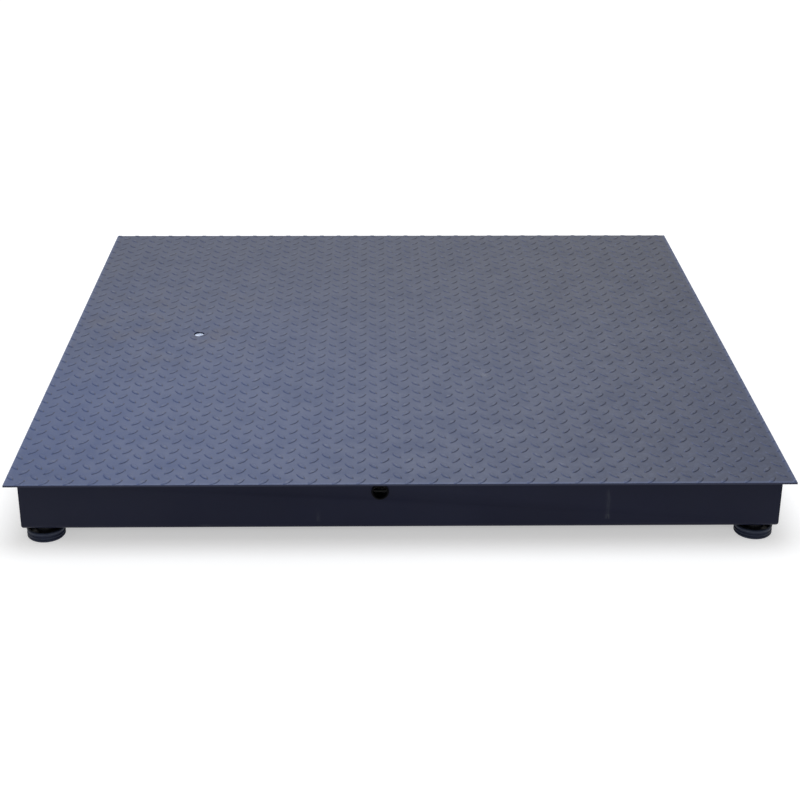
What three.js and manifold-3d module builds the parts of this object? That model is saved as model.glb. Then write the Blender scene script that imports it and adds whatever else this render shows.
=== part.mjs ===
// Pallet scale: a welded tread-plate platform carried by four shear-beam load cells on levelling feet.
// Millimetres, +Z up. The origin is on the floor under the middle of the platform, and -Y is the front.
import * as THREE from "three";
import { mergeVertices } from "three/addons/utils/BufferGeometryUtils.js";
import Module from "manifold-3d";

// ---- Driving dimensions ----
const GAP = 0.3; // left between pieces that are welded, glued or pushed together

const DECK_SIDE = 1200; // the deck is square
const DECK_TOP = 110; // floor to the tops of the lugs, with the feet screwed fully in
const DECK_THICKNESS = 4; // 3 mm of plate and 1 mm of lugs
const DECK_UNDERSIDE = DECK_TOP - DECK_THICKNESS;
const OVERHANG = 17.5; // deck past the frame, all round

const FRAME_HALF = DECK_SIDE / 2 - OVERHANG; // middle to the frame's outer faces
const CHANNEL_HEIGHT = 81;
const CHANNEL_WIDTH = 40;
const STEEL = 4; // wall of the channels and ribs
const FOLD_OUTER = 6; // radius outside a fold
const FOLD_INNER = FOLD_OUTER - STEEL;
const CHANNEL_BOTTOM = DECK_UNDERSIDE - CHANNEL_HEIGHT;
const FLANGE_UNDERSIDE = DECK_UNDERSIDE - STEEL; // under the channels' top flange
const TRAY_TOP = CHANNEL_BOTTOM + STEEL; // top of the channels' bottom flange, where the cables lie
const FOOT_NOTCH = 68; // bottom flange cut back this far from each corner

const RIB_WIDTH = 50;
const RIB_HEIGHT = 60;
const LONG_RIBS = { inner: 120, middle: 265 }; // ribs from the front channel to the rear one, off the middle
const SHORT_RIB_X = 455; // the outer ribs stop short of the load cells
const SHORT_RIB_HALF = 515;

const FOOT_INSET = 31; // foot axis in from both outer frame faces
const FOOT_AT = FRAME_HALF - FOOT_INSET;

const CELL_LENGTH = 130;
const CELL_SIDE = 32;
const CELL_BOTTOM = 59;
const CELL_TOP = CELL_BOTTOM + CELL_SIDE;
const CELL_NOSE = 12.7; // stud hole to the loaded end
const CELL_BOLT_SPACING = 25.4;
const CELL_BOLT_FROM_END = 15.8;
const CELL_POCKET_RADIUS = 11;
const CELL_POCKET_X = -38;
const CELL_WEB = 8; // metal left between the two gauge pockets
const CELL_OUTLET = { radius: 6, length: 10, z: 68 };

const CELL_FIXED_END = CELL_NOSE - CELL_LENGTH;
const CELL_BOLTS = [
  { name: "inner", x: CELL_FIXED_END + CELL_BOLT_FROM_END },
  { name: "outer", x: CELL_FIXED_END + CELL_BOLT_FROM_END + CELL_BOLT_SPACING },
];
const CELL_OUTLET_END = CELL_FIXED_END - CELL_OUTLET.length;
const BOLT_ACCESS = 15; // radius of the slot ends in the bottom flange, under the cell bolts

const BLOCK = { outer: -61.5, inner: -121.5, halfWidth: 25 }; // steel pad between a cell and the frame

const M12 = 6; // radius over the thread
const M12_HOLE = M12 + GAP; // tapped hole around an M12 thread
const BOLT_HOLE = 6.5;
const HEX_BOLT = 18; // across flats
const BOLT_HEAD = 7.5;
const WASHER = { radius: 12, height: 2.5 };

const BALL_RADIUS = 6.5;
const BALL_Z = 15.5; // centre of the foot's ball joint
const SEAT_INNER = BALL_RADIUS + GAP;
const SEAT_OUTER = 8.3;
const SOCKET_RADIUS = SEAT_OUTER + 0.4;
const STUD_NECK = 4;
const STUD_HEX = { flats: 17, low: 24, high: 31 };
const STUD_TOP = 99;
const STUD_CHAMFER = 1.5;
const LOCK_NUT = { flats: 19, height: 10 };
const HUB = { top: 20, topRadius: 13, midRadius: 14, footRadius: 15, footHeight: 7.5, chamfer: 1 };
const SEAT_RIM = HUB.top - 0.6;
const BASE = { radius: 25.4, edge: 4, top: 5.2, middle: 5.8, chamfer: 1.5, hubFillet: 1.5 };
const PAD = { radius: 29.5, lip: 15.5, floor: 5, bottomChamfer: 1.5, lipChamfer: 1.2, cupChamfer: 0.6 };
const CUP_RADIUS = BASE.radius + 0.5;

const OUTLET = { x: -32.7, z: 87.5 }; // cable outlet in the front channel
const OUTLET_HOLE = 12.5;
const GROMMET = { bore: 10.5, flange: 13.2, proud: 2.2, lip: 3, round: 0.8 }; // the lip is on the inside

const BOX = { halfX: 50, front: -535, rear: -445, bottom: 68, wall: 3 };
const BOX_TOP = DECK_UNDERSIDE - GAP;
const GASKET = { band: 4, thickness: 1.4 };
const LID_THICKNESS = 4;
const INPUT = { z: 84, sideY: -490, rearX: 22, boss: 8, length: 12 };
const OUTPUT_HOLE = 8.2;
const OUTPUT = { bore: 3.5, thread: 7.9, inside: 7, flange: 11, flangeEnd: 6, nut: 9.8, nutEnd: 18 };
const OUTPUT_NOSE = { radius: 7, end: 22 };
const BOARD = { halfX: 40, front: -524, rear: -456, z: [92, 93.6] };
const TERMINALS = { halfX: 32, front: -512, rear: -500, z: [82, BOARD.z[0] - GAP] };

const CABLE_RADIUS = 2.75;
const CABLE_HOLE = CABLE_RADIUS + 0.65;
const TRAY_Z = TRAY_TOP + CABLE_RADIUS + 0.5; // cable axis where it lies in a channel
const TRAY_Y = 557;
const DECK_CABLE_Z = DECK_UNDERSIDE - 6; // cable axis where it is clipped up under the deck
const CABLE_STEPS = { front: 36, rear: 64 };

const LEVEL = { x: -365, y: 15.6, hole: 10, vial: 8.8, top: DECK_UNDERSIDE + 2.4, bottom: 97 };
const HOLDER = { radius: 13, flange: 17, flangeThickness: 2, floor: 3, chamfer: 1 };

const ROUND = 16; // sides of a small round piece
const PAD_ROUND = 24;
const CABLE_SIDES = 8;
const ARC_STEP = Math.PI / 8;

const CORNERS = [
  { name: "front_left", x: -1, y: -1 },
  { name: "front_right", x: 1, y: -1 },
  { name: "rear_left", x: -1, y: 1 },
  { name: "rear_right", x: 1, y: 1 },
];

// ---- Materials ----
const finish = (color, roughness, metalness) => ({ color, roughness, metalness });
const FINISH = {
  deckPaint: finish(0x666c80, 0.55, 0.1),
  framePaint: finish(0x22242f, 0.45, 0.1),
  nickelSteel: finish(0xa9abad, 0.35, 0.9),
  zincSteel: finish(0x8f9498, 0.4, 0.9),
  blackRubber: finish(0x14161b, 0.85, 0),
  nylon: finish(0xd9d8ce, 0.5, 0),
  padSteel: finish(0x1b1f29, 0.5, 0.4),
  cableSheath: finish(0x17181b, 0.6, 0),
  boxPlastic: finish(0x9a9da0, 0.5, 0),
  board: finish(0x1f5a35, 0.5, 0),
  terminals: finish(0x2f6fa8, 0.5, 0),
  levelGlass: finish(0xdfeaf2, 0.1, 0),
  levelHolder: finish(0xe4e6e8, 0.5, 0),
};

// ---- Solids ----
const wasm = await Module();
wasm.setup();

function solidOf(geometry) {
  const bare = geometry.clone();
  bare.deleteAttribute("normal");
  bare.deleteAttribute("uv");
  const merged = mergeVertices(bare, 1e-4);
  return new wasm.Manifold(
    new wasm.Mesh({
      numProp: 3,
      vertProperties: merged.attributes.position.array,
      triVerts: new Uint32Array(merged.index.array),
    }),
  );
}

function geometryOf(solid) {
  const mesh = solid.getMesh();
  const geometry = new THREE.BufferGeometry();
  geometry.setAttribute("position", new THREE.BufferAttribute(mesh.vertProperties, 3));
  geometry.setIndex(new THREE.BufferAttribute(mesh.triVerts, 1));
  geometry.computeVertexNormals();
  return geometry;
}

const cut = (body, ...tools) =>
  geometryOf(tools.reduce((left, tool) => left.subtract(solidOf(tool)), solidOf(body)));
const join = (...bodies) =>
  geometryOf(bodies.map(solidOf).reduce((whole, body) => whole.add(body)));

function box([x0, x1], [y0, y1], [z0, z1]) {
  const geometry = new THREE.BoxGeometry(x1 - x0, y1 - y0, z1 - z0);
  return geometry.translate((x0 + x1) / 2, (y0 + y1) / 2, (z0 + z1) / 2);
}

// Upright prism with a regular outline: a round bar at 16 sides, a hexagon at 6.
function bar(radius, z0, z1, sides = ROUND) {
  const geometry = new THREE.CylinderGeometry(radius, radius, z1 - z0, sides);
  return geometry.rotateX(Math.PI / 2).translate(0, 0, (z0 + z1) / 2);
}

const hexagon = (flats, z0, z1) => bar(flats / Math.sqrt(3), z0, z1, 6);

// Solid of revolution about Z from [radius, height] points, drawn from the bottom outwards and up.
function turned(profile, sides = ROUND) {
  const points = profile.map(([radius, z]) => new THREE.Vector2(radius, z));
  return new THREE.LatheGeometry(points, sides).rotateX(Math.PI / 2);
}

// Ring of revolution: the profile is closed, and keeps off the axis.
const ring = (profile) => turned([...profile, profile[0]]);

function arc(centreZ, radius, from, to) {
  const steps = Math.ceil(Math.abs(to - from) / ARC_STEP - 1e-9);
  return Array.from({ length: steps + 1 }, (_, i) => {
    const angle = from + ((to - from) * i) / steps;
    return [Math.max(0, radius * Math.cos(angle)), centreZ + radius * Math.sin(angle)];
  });
}

const towardsFront = (geometry, x, y, z) => geometry.rotateX(Math.PI / 2).translate(x, y, z);
const alongX = (geometry, x, y, z) => geometry.rotateY(Math.PI / 2).translate(x, y, z);

function extrudeAlong(shape, length, along) {
  const options = { depth: length, bevelEnabled: false, curveSegments: 3 };
  const geometry = new THREE.ExtrudeGeometry(shape, options).translate(0, 0, -length / 2);
  const [x, y, z] =
    along === "x"
      ? [new THREE.Vector3(0, 1, 0), new THREE.Vector3(0, 0, 1), new THREE.Vector3(1, 0, 0)]
      : [new THREE.Vector3(-1, 0, 0), new THREE.Vector3(0, 0, 1), new THREE.Vector3(0, 1, 0)];
  return geometry.applyMatrix4(new THREE.Matrix4().makeBasis(x, y, z));
}

// ---- Platform ----
function deckPlate() {
  const half = DECK_SIDE / 2;
  const plate = box([-half, half], [-half, half], [DECK_UNDERSIDE, DECK_TOP]);
  const hole = bar(LEVEL.hole, DECK_UNDERSIDE - 1, DECK_TOP + 1, PAD_ROUND);
  return cut(plate, hole.translate(LEVEL.x, LEVEL.y, 0));
}

// Cold-folded C section, drawn from the flange tips round the outside of the folds and back inside.
function channelShape() {
  const [w, h, t, r, s] = [CHANNEL_WIDTH, CHANNEL_HEIGHT, STEEL, FOLD_OUTER, FOLD_INNER];
  const shape = new THREE.Shape();
  shape.moveTo(w, 0);
  shape.lineTo(r, 0);
  shape.absarc(r, r, r, -Math.PI / 2, -Math.PI, true);
  shape.lineTo(0, h - r);
  shape.absarc(r, h - r, r, Math.PI, Math.PI / 2, true);
  shape.lineTo(w, h);
  shape.lineTo(w, h - t);
  shape.lineTo(t + s, h - t);
  shape.absarc(t + s, h - t - s, s, Math.PI / 2, Math.PI, false);
  shape.lineTo(t, t + s);
  shape.absarc(t + s, t + s, s, Math.PI, 1.5 * Math.PI, false);
  shape.lineTo(w, t);
  shape.closePath();
  return shape;
}

// The wedge that a mitre takes off the left end of the front channel.
function mitreWedge() {
  const past = 10;
  const near = -FRAME_HALF - past;
  const far = -FRAME_HALF + CHANNEL_WIDTH + past;
  const shape = new THREE.Shape();
  shape.moveTo(near + GAP / 2, near);
  shape.lineTo(far + GAP / 2, far);
  shape.lineTo(near - past, far);
  shape.lineTo(near - past, near);
  shape.closePath();
  const depth = CHANNEL_HEIGHT + 2 * past;
  const wedge = new THREE.ExtrudeGeometry(shape, { depth, bevelEnabled: false });
  return wedge.translate(0, 0, CHANNEL_BOTTOM - past);
}

// Side channel in the front one's place: mitred, with its bottom flange cut back round both feet.
function frameChannel() {
  const length = 2 * FRAME_HALF;
  const section = extrudeAlong(channelShape(), length, "x");
  const blank = section.translate(0, -FRAME_HALF, CHANNEL_BOTTOM);
  const left = mitreWedge();
  const right = mitreWedge().applyMatrix4(new THREE.Matrix4().makeScale(-1, 1, 1));
  right.setIndex([...Array(right.attributes.position.count).keys()].reverse());
  const notch = (x0, x1) =>
    box(
      [x0, x1],
      [-FRAME_HALF + FOLD_OUTER, -FRAME_HALF + CHANNEL_WIDTH + 1],
      [CHANNEL_BOTTOM - 1, TRAY_TOP + 1],
    );
  const inner = FRAME_HALF - FOOT_NOTCH;
  return cut(blank, left, right, notch(-length, -inner), notch(inner, length));
}

// Channel over the load cells: slots in its bottom flange let a spanner reach the cell bolts.
function cellChannel() {
  const tools = [-1, 1].flatMap((side) => {
    const [a, b] = CELL_BOLTS.map((bolt) => side * (FOOT_AT + bolt.x));
    const [z0, z1] = [CHANNEL_BOTTOM - 1, TRAY_TOP + 1];
    const end = (x) => bar(BOLT_ACCESS, z0, z1).translate(x, -FOOT_AT, 0);
    const width = [-FOOT_AT - BOLT_ACCESS, -FOOT_AT + BOLT_ACCESS];
    return [end(a), end(b), box([Math.min(a, b), Math.max(a, b)], width, [z0, z1])];
  });
  return cut(frameChannel(), ...tools);
}

function frontChannel() {
  const hole = towardsFront(bar(OUTLET_HOLE, -10, 10), OUTLET.x, -FRAME_HALF, OUTLET.z);
  return cut(cellChannel(), hole);
}

// U-section rib with its legs up against the deck. A long rib is coped to slide under the top flanges.
function deckRib(halfLength, coped) {
  const [w, h, t] = [RIB_WIDTH / 2, RIB_HEIGHT, STEEL];
  const outline = [
    [-w, 0], [w, 0], [w, h], [w - t, h], [w - t, t], [t - w, t], [t - w, h], [-w, h],
  ];
  const shape = new THREE.Shape(outline.map(([x, y]) => new THREE.Vector2(x, y)));
  const rib = extrudeAlong(shape, 2 * halfLength, "y").translate(0, 0, DECK_UNDERSIDE - h);
  if (!coped) return rib;
  const lip = FRAME_HALF - CHANNEL_WIDTH - GAP;
  const cope = (y0, y1) =>
    box([-w - 1, w + 1], [y0, y1], [FLANGE_UNDERSIDE - GAP, DECK_UNDERSIDE + 1]);
  return cut(rib, cope(-halfLength - 1, -lip), cope(lip, halfLength + 1));
}

// ---- Load cells, in a corner's own frame: the foot's axis is Z, and the scale's middle is towards -X ----

function loadCell() {
  const half = CELL_SIDE / 2;
  const beam = box([CELL_FIXED_END, CELL_NOSE], [-half, half], [CELL_BOTTOM, CELL_TOP]);
  const outletBar = bar(CELL_OUTLET.radius, CELL_OUTLET_END, CELL_FIXED_END + 1);
  const outlet = alongX(outletBar, 0, 0, CELL_OUTLET.z);
  const through = (radius, x) => bar(radius, CELL_BOTTOM - 1, CELL_TOP + 1).translate(x, 0, 0);
  const pocket = (y0, y1) =>
    bar(CELL_POCKET_RADIUS, y0, y1)
      .rotateX(-Math.PI / 2)
      .translate(CELL_POCKET_X, 0, (CELL_BOTTOM + CELL_TOP) / 2);
  return cut(
    join(beam, outlet),
    through(M12_HOLE, 0),
    ...CELL_BOLTS.map((bolt) => through(BOLT_HOLE, bolt.x)),
    pocket(CELL_WEB / 2, half + 1),
    pocket(-half - 1, -CELL_WEB / 2),
  );
}

function cellMountBlock() {
  const side = [-BLOCK.halfWidth, BLOCK.halfWidth];
  const block = box([BLOCK.inner, BLOCK.outer], side, [CELL_TOP, FLANGE_UNDERSIDE]);
  const tapped = CELL_BOLTS.map((bolt) =>
    bar(M12_HOLE, CELL_TOP - 1, FLANGE_UNDERSIDE + 1).translate(bolt.x, 0, 0),
  );
  return cut(block, ...tapped);
}

// M12 hex bolt with its washer, head down.
function cellBolt() {
  const washerLow = CELL_BOTTOM - WASHER.height;
  return join(
    hexagon(HEX_BOLT, washerLow - BOLT_HEAD, washerLow + 0.1),
    bar(WASHER.radius, washerLow, CELL_BOTTOM),
    bar(M12, washerLow, FLANGE_UNDERSIDE - 1),
  );
}

// ---- Levelling feet ----
function footStud() {
  const neckAngle = Math.acos(STUD_NECK / BALL_RADIUS);
  const spindle = turned([
    ...arc(BALL_Z, BALL_RADIUS, -Math.PI / 2, neckAngle),
    [STUD_NECK, STUD_HEX.low + 1],
    [M12, STUD_HEX.low + 1],
    [M12, STUD_TOP - STUD_CHAMFER],
    [M12 - STUD_CHAMFER, STUD_TOP],
    [0, STUD_TOP],
  ]);
  return join(spindle, hexagon(STUD_HEX.flats, STUD_HEX.low, STUD_HEX.high));
}

function lockNut() {
  const low = CELL_BOTTOM - LOCK_NUT.height;
  return cut(hexagon(LOCK_NUT.flats, low, CELL_BOTTOM), bar(M12_HOLE, low - 1, CELL_BOTTOM + 1));
}

// Thin nylon cup between the ball and the steel base.
function ballSeat() {
  const rim = SEAT_RIM - BALL_Z;
  const outer = arc(BALL_Z, SEAT_OUTER, -Math.PI / 2, Math.asin(rim / SEAT_OUTER));
  const inner = arc(BALL_Z, SEAT_INNER, Math.asin(rim / SEAT_INNER), -Math.PI / 2);
  return turned([...outer, ...inner]);
}

// Steel disc with a hub that wraps the ball past its middle.
function padBase() {
  const low = PAD.floor + GAP;
  const mouth = Math.asin((HUB.top - BALL_Z) / SOCKET_RADIUS);
  return turned([
    [0, low],
    [BASE.radius, low],
    [BASE.radius, low + BASE.edge],
    [BASE.radius - BASE.chamfer, low + BASE.top],
    [HUB.footRadius + BASE.hubFillet, low + BASE.middle],
    [HUB.footRadius, low + HUB.footHeight],
    [HUB.midRadius, HUB.top - HUB.chamfer],
    [HUB.topRadius, HUB.top],
    ...arc(BALL_Z, SOCKET_RADIUS, mouth, -Math.PI / 2),
  ]);
}

// Rubber cup that the steel base is pressed into.
function padSole() {
  const profile = [
    [0, 0],
    [PAD.radius - PAD.bottomChamfer, 0],
    [PAD.radius, PAD.bottomChamfer],
    [PAD.radius, PAD.lip - PAD.lipChamfer],
    [PAD.radius - PAD.lipChamfer, PAD.lip],
    [CUP_RADIUS + PAD.cupChamfer, PAD.lip],
    [CUP_RADIUS, PAD.lip - PAD.cupChamfer],
    [CUP_RADIUS, PAD.floor],
    [0, PAD.floor],
  ];
  return turned(profile, PAD_ROUND);
}

// ---- Junction box and cable outlet ----
const BOX_X = [-BOX.halfX, BOX.halfX];
const BOX_Y = [BOX.front, BOX.rear];
const INPUTS = [
  { x: -BOX.halfX, y: INPUT.sideY, along: "x", outwards: -1 },
  { x: BOX.halfX, y: INPUT.sideY, along: "x", outwards: 1 },
  { x: -INPUT.rearX, y: BOX.rear, along: "y", outwards: 1 },
  { x: INPUT.rearX, y: BOX.rear, along: "y", outwards: 1 },
];

// A bar through one input, from inside the wall to a given distance outside it.
function inputBar(input, radius, inside, outside, sides) {
  const [from, to] = input.outwards > 0 ? [-inside, outside] : [-outside, inside];
  if (input.along === "x") return alongX(bar(radius, from, to, sides), input.x, input.y, INPUT.z);
  return bar(radius, from, to, sides).rotateX(-Math.PI / 2).translate(input.x, input.y, INPUT.z);
}

function junctionBoxBody() {
  const shell = box(BOX_X, BOX_Y, [BOX.bottom, BOX_TOP]);
  const room = box(
    [BOX_X[0] + BOX.wall, BOX_X[1] - BOX.wall],
    [BOX_Y[0] + BOX.wall, BOX_Y[1] - BOX.wall],
    [BOX.bottom - 1, BOX_TOP - BOX.wall],
  );
  const outlet = towardsFront(bar(OUTPUT_HOLE, -10, 10), OUTLET.x, BOX.front, OUTLET.z);
  const bosses = INPUTS.map((input) => inputBar(input, INPUT.boss, 1, INPUT.length, ROUND));
  const holes = INPUTS.map((input) => inputBar(input, CABLE_HOLE, 10, INPUT.length + 1, CABLE_SIDES));
  return cut(join(cut(shell, room), ...bosses), outlet, ...holes);
}

function junctionBoxGasket() {
  const z = [BOX.bottom - GAP - GASKET.thickness, BOX.bottom - GAP];
  const opening = box(
    [BOX_X[0] + GASKET.band, BOX_X[1] - GASKET.band],
    [BOX_Y[0] + GASKET.band, BOX_Y[1] - GASKET.band],
    [z[0] - 1, z[1] + 1],
  );
  return cut(box(BOX_X, BOX_Y, z), opening);
}

function junctionBoxLid() {
  const top = BOX.bottom - 2 * GAP - GASKET.thickness;
  return box(BOX_X, BOX_Y, [top - LID_THICKNESS, top]);
}

// The circuit board, and the block of screw terminals under it.
const slab = ({ halfX, front, rear, z }) => box([-halfX, halfX], [front, rear], z);

// Cable gland on the front of the junction box, in line with the outlet in the frame.
function outputGland() {
  const profile = [
    [OUTPUT.bore, -OUTPUT.inside],
    [OUTPUT.thread, -OUTPUT.inside],
    [OUTPUT.thread, GAP],
    [OUTPUT.flange, GAP],
    [OUTPUT.flange, OUTPUT.flangeEnd],
    [OUTPUT.nut, OUTPUT.flangeEnd],
    [OUTPUT.nut, OUTPUT.nutEnd],
    [OUTPUT_NOSE.radius, OUTPUT_NOSE.end],
    [OUTPUT.bore, OUTPUT_NOSE.end],
  ];
  return towardsFront(ring(profile), OUTLET.x, BOX.front, OUTLET.z);
}

// Rubber ring snapped into the hole in the front channel.
function cableGrommet() {
  const neck = OUTLET_HOLE - GAP;
  const { bore, flange, proud, round } = GROMMET;
  const inside = -STEEL - GROMMET.lip;
  const profile = [
    [bore, inside + round],
    [bore + round, inside],
    [flange, inside],
    [flange, inside + round],
    [neck, -STEEL - GAP],
    [neck, GAP],
    [flange, GAP],
    [flange, proud - round],
    [flange - round, proud],
    [bore + round, proud],
    [bore, proud - round],
  ];
  return towardsFront(ring(profile), OUTLET.x, -FRAME_HALF, OUTLET.z);
}

// ---- Bull's-eye level under the hole in the deck ----
function levelVial() {
  return bar(LEVEL.vial, LEVEL.bottom, LEVEL.top, PAD_ROUND).translate(LEVEL.x, LEVEL.y, 0);
}

function levelHolder() {
  const top = DECK_UNDERSIDE - GAP;
  const pocket = LEVEL.vial + GAP;
  const floor = LEVEL.bottom - GAP;
  const { radius, flange, flangeThickness, chamfer } = HOLDER;
  const bottom = floor - HOLDER.floor;
  const profile = [
    [0, bottom],
    [radius - chamfer, bottom],
    [radius, bottom + chamfer],
    [radius, top - flangeThickness],
    [flange, top - flangeThickness],
    [flange, top],
    [pocket, top],
    [pocket, floor],
    [0, floor],
  ];
  return turned(profile, PAD_ROUND).translate(LEVEL.x, LEVEL.y, 0);
}

// ---- Cables from the load cells to the junction box ----
const CELL_CABLE_START = FOOT_AT + CELL_OUTLET_END - GAP;
const CABLE_END_INSIDE = 8; // how far a cable's end stands inside the box's outer face

// Down from the cell into the channel, along it, then up the side of the junction box and in.
function frontCablePath(side) {
  const gland = BOX.halfX + INPUT.length;
  return [
    [side * CELL_CABLE_START, -FOOT_AT, CELL_OUTLET.z],
    [side * (CELL_CABLE_START - 10), -FOOT_AT, CELL_OUTLET.z],
    [side * (CELL_CABLE_START - 34), -FOOT_AT - 3, 46],
    [side * (CELL_CABLE_START - 58), -TRAY_Y, TRAY_Z + 1],
    [side * (CELL_CABLE_START - 85), -TRAY_Y, TRAY_Z],
    [side * 260, -TRAY_Y, TRAY_Z],
    [side * 130, -TRAY_Y, TRAY_Z],
    [side * 98, -TRAY_Y + 3, TRAY_Z],
    [side * 82, -TRAY_Y + 18, TRAY_Z + 0.5],
    [side * 79, -TRAY_Y + 38, TRAY_Z + 3],
    [side * 80, INPUT.sideY - 6, 46],
    [side * 81, INPUT.sideY, 64],
    [side * 76, INPUT.sideY, INPUT.z - 5],
    [side * gland, INPUT.sideY, INPUT.z],
    [side * (BOX.halfX - CABLE_END_INSIDE), INPUT.sideY, INPUT.z],
  ];
}

// Down into the rear channel, along it, then forwards under the deck to the back of the junction box.
function rearCablePath(side) {
  const gland = BOX.rear + INPUT.length;
  return [
    [side * CELL_CABLE_START, FOOT_AT, CELL_OUTLET.z],
    [side * (CELL_CABLE_START - 10), FOOT_AT, CELL_OUTLET.z],
    [side * (CELL_CABLE_START - 34), FOOT_AT + 3, 46],
    [side * (CELL_CABLE_START - 58), TRAY_Y, TRAY_Z + 1],
    [side * (CELL_CABLE_START - 85), TRAY_Y, TRAY_Z],
    [side * 260, TRAY_Y, TRAY_Z],
    [side * 90, TRAY_Y, TRAY_Z],
    [side * 58, TRAY_Y - 4, TRAY_Z + 1],
    [side * 34, TRAY_Y - 30, TRAY_Z + 14],
    [side * 24, TRAY_Y - 70, 74],
    [side * INPUT.rearX, TRAY_Y - 120, DECK_CABLE_Z - 2],
    [side * INPUT.rearX, TRAY_Y - 180, DECK_CABLE_Z],
    [side * INPUT.rearX, 0, DECK_CABLE_Z],
    [side * INPUT.rearX, gland + 110, DECK_CABLE_Z],
    [side * INPUT.rearX, gland + 60, DECK_CABLE_Z - 3],
    [side * INPUT.rearX, gland + 20, INPUT.z + 1],
    [side * INPUT.rearX, gland, INPUT.z],
    [side * INPUT.rearX, BOX.rear - CABLE_END_INSIDE, INPUT.z],
  ];
}

function cable(points, steps) {
  const outline = Array.from({ length: CABLE_SIDES }, (_, i) => {
    const angle = (2 * Math.PI * (i + 0.5)) / CABLE_SIDES;
    return new THREE.Vector2(CABLE_RADIUS * Math.cos(angle), CABLE_RADIUS * Math.sin(angle));
  });
  const route = points.map(([x, y, z]) => new THREE.Vector3(x, y, z));
  const extrudePath = new THREE.CatmullRomCurve3(route, false, "centripetal");
  return new THREE.ExtrudeGeometry(new THREE.Shape(outline), { steps, extrudePath });
}

// ---- Assembly ----
function mesh(name, geometry, look) {
  const made = new THREE.Mesh(geometry, new THREE.MeshStandardMaterial(look));
  made.name = name;
  return made;
}

function platform() {
  const group = new THREE.Group();
  group.add(mesh("deck_plate", deckPlate(), FINISH.deckPaint));
  const channels = [
    { side: "front", geometry: frontChannel(), angle: 0 },
    { side: "right", geometry: frameChannel(), angle: Math.PI / 2 },
    { side: "rear", geometry: cellChannel(), angle: Math.PI },
    { side: "left", geometry: frameChannel(), angle: -Math.PI / 2 },
  ];
  for (const { side, geometry, angle } of channels) {
    const channel = mesh(`frame_channel_${side}`, geometry, FINISH.framePaint);
    channel.rotation.z = angle;
    group.add(channel);
  }
  const longHalf = FRAME_HALF - FOLD_OUTER;
  for (const [side, sign] of [["left", -1], ["right", 1]]) {
    for (const [place, x] of Object.entries(LONG_RIBS)) {
      const rib = mesh(`deck_rib_${place}_${side}`, deckRib(longHalf, true), FINISH.framePaint);
      rib.position.x = sign * x;
      group.add(rib);
    }
    const short = mesh(`deck_rib_outer_${side}`, deckRib(SHORT_RIB_HALF, false), FINISH.framePaint);
    short.position.x = sign * SHORT_RIB_X;
    group.add(short);
  }
  return group;
}

// One corner's load cell and foot. A left-hand corner is the right-hand one turned half round.
function corner({ name, x, y }) {
  const group = new THREE.Group();
  group.position.set(x * FOOT_AT, y * FOOT_AT, 0);
  group.rotation.z = x > 0 ? 0 : Math.PI;
  group.add(mesh(`cell_mount_block_${name}`, cellMountBlock(), FINISH.framePaint));
  group.add(mesh(`load_cell_${name}`, loadCell(), FINISH.nickelSteel));
  for (const bolt of CELL_BOLTS) {
    const made = mesh(`cell_bolt_${bolt.name}_${name}`, cellBolt(), FINISH.zincSteel);
    made.position.x = bolt.x;
    group.add(made);
  }
  group.add(mesh(`lock_nut_${name}`, lockNut(), FINISH.zincSteel));
  group.add(mesh(`foot_stud_${name}`, footStud(), FINISH.zincSteel));
  group.add(mesh(`ball_seat_${name}`, ballSeat(), FINISH.nylon));
  group.add(mesh(`pad_base_${name}`, padBase(), FINISH.padSteel));
  group.add(mesh(`pad_sole_${name}`, padSole(), FINISH.blackRubber));
  return group;
}

function wiring() {
  const group = new THREE.Group();
  group.add(mesh("junction_box_body", junctionBoxBody(), FINISH.boxPlastic));
  group.add(mesh("junction_box_gasket", junctionBoxGasket(), FINISH.blackRubber));
  group.add(mesh("junction_box_lid", junctionBoxLid(), FINISH.boxPlastic));
  group.add(mesh("junction_board", slab(BOARD), FINISH.board));
  group.add(mesh("terminal_block", slab(TERMINALS), FINISH.terminals));
  group.add(mesh("output_gland", outputGland(), FINISH.blackRubber));
  group.add(mesh("cable_grommet", cableGrommet(), FINISH.blackRubber));
  for (const { name, x, y } of CORNERS) {
    const path = y < 0 ? frontCablePath(x) : rearCablePath(x);
    const geometry = cable(path, y < 0 ? CABLE_STEPS.front : CABLE_STEPS.rear);
    group.add(mesh(`cell_cable_${name}`, geometry, FINISH.cableSheath));
  }
  return group;
}

function level() {
  const group = new THREE.Group();
  group.add(mesh("level_vial", levelVial(), FINISH.levelGlass));
  group.add(mesh("level_holder", levelHolder(), FINISH.levelHolder));
  return group;
}

const scale = new THREE.Group();
scale.add(platform(), wiring(), level());
for (const place of CORNERS) scale.add(corner(place));

export default scale;
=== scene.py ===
"""Looks of the pallet scale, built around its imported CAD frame. Metres, +Z up, -Y is the front."""

import math

import bmesh
import bpy
from mathutils import Matrix, Vector


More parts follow.
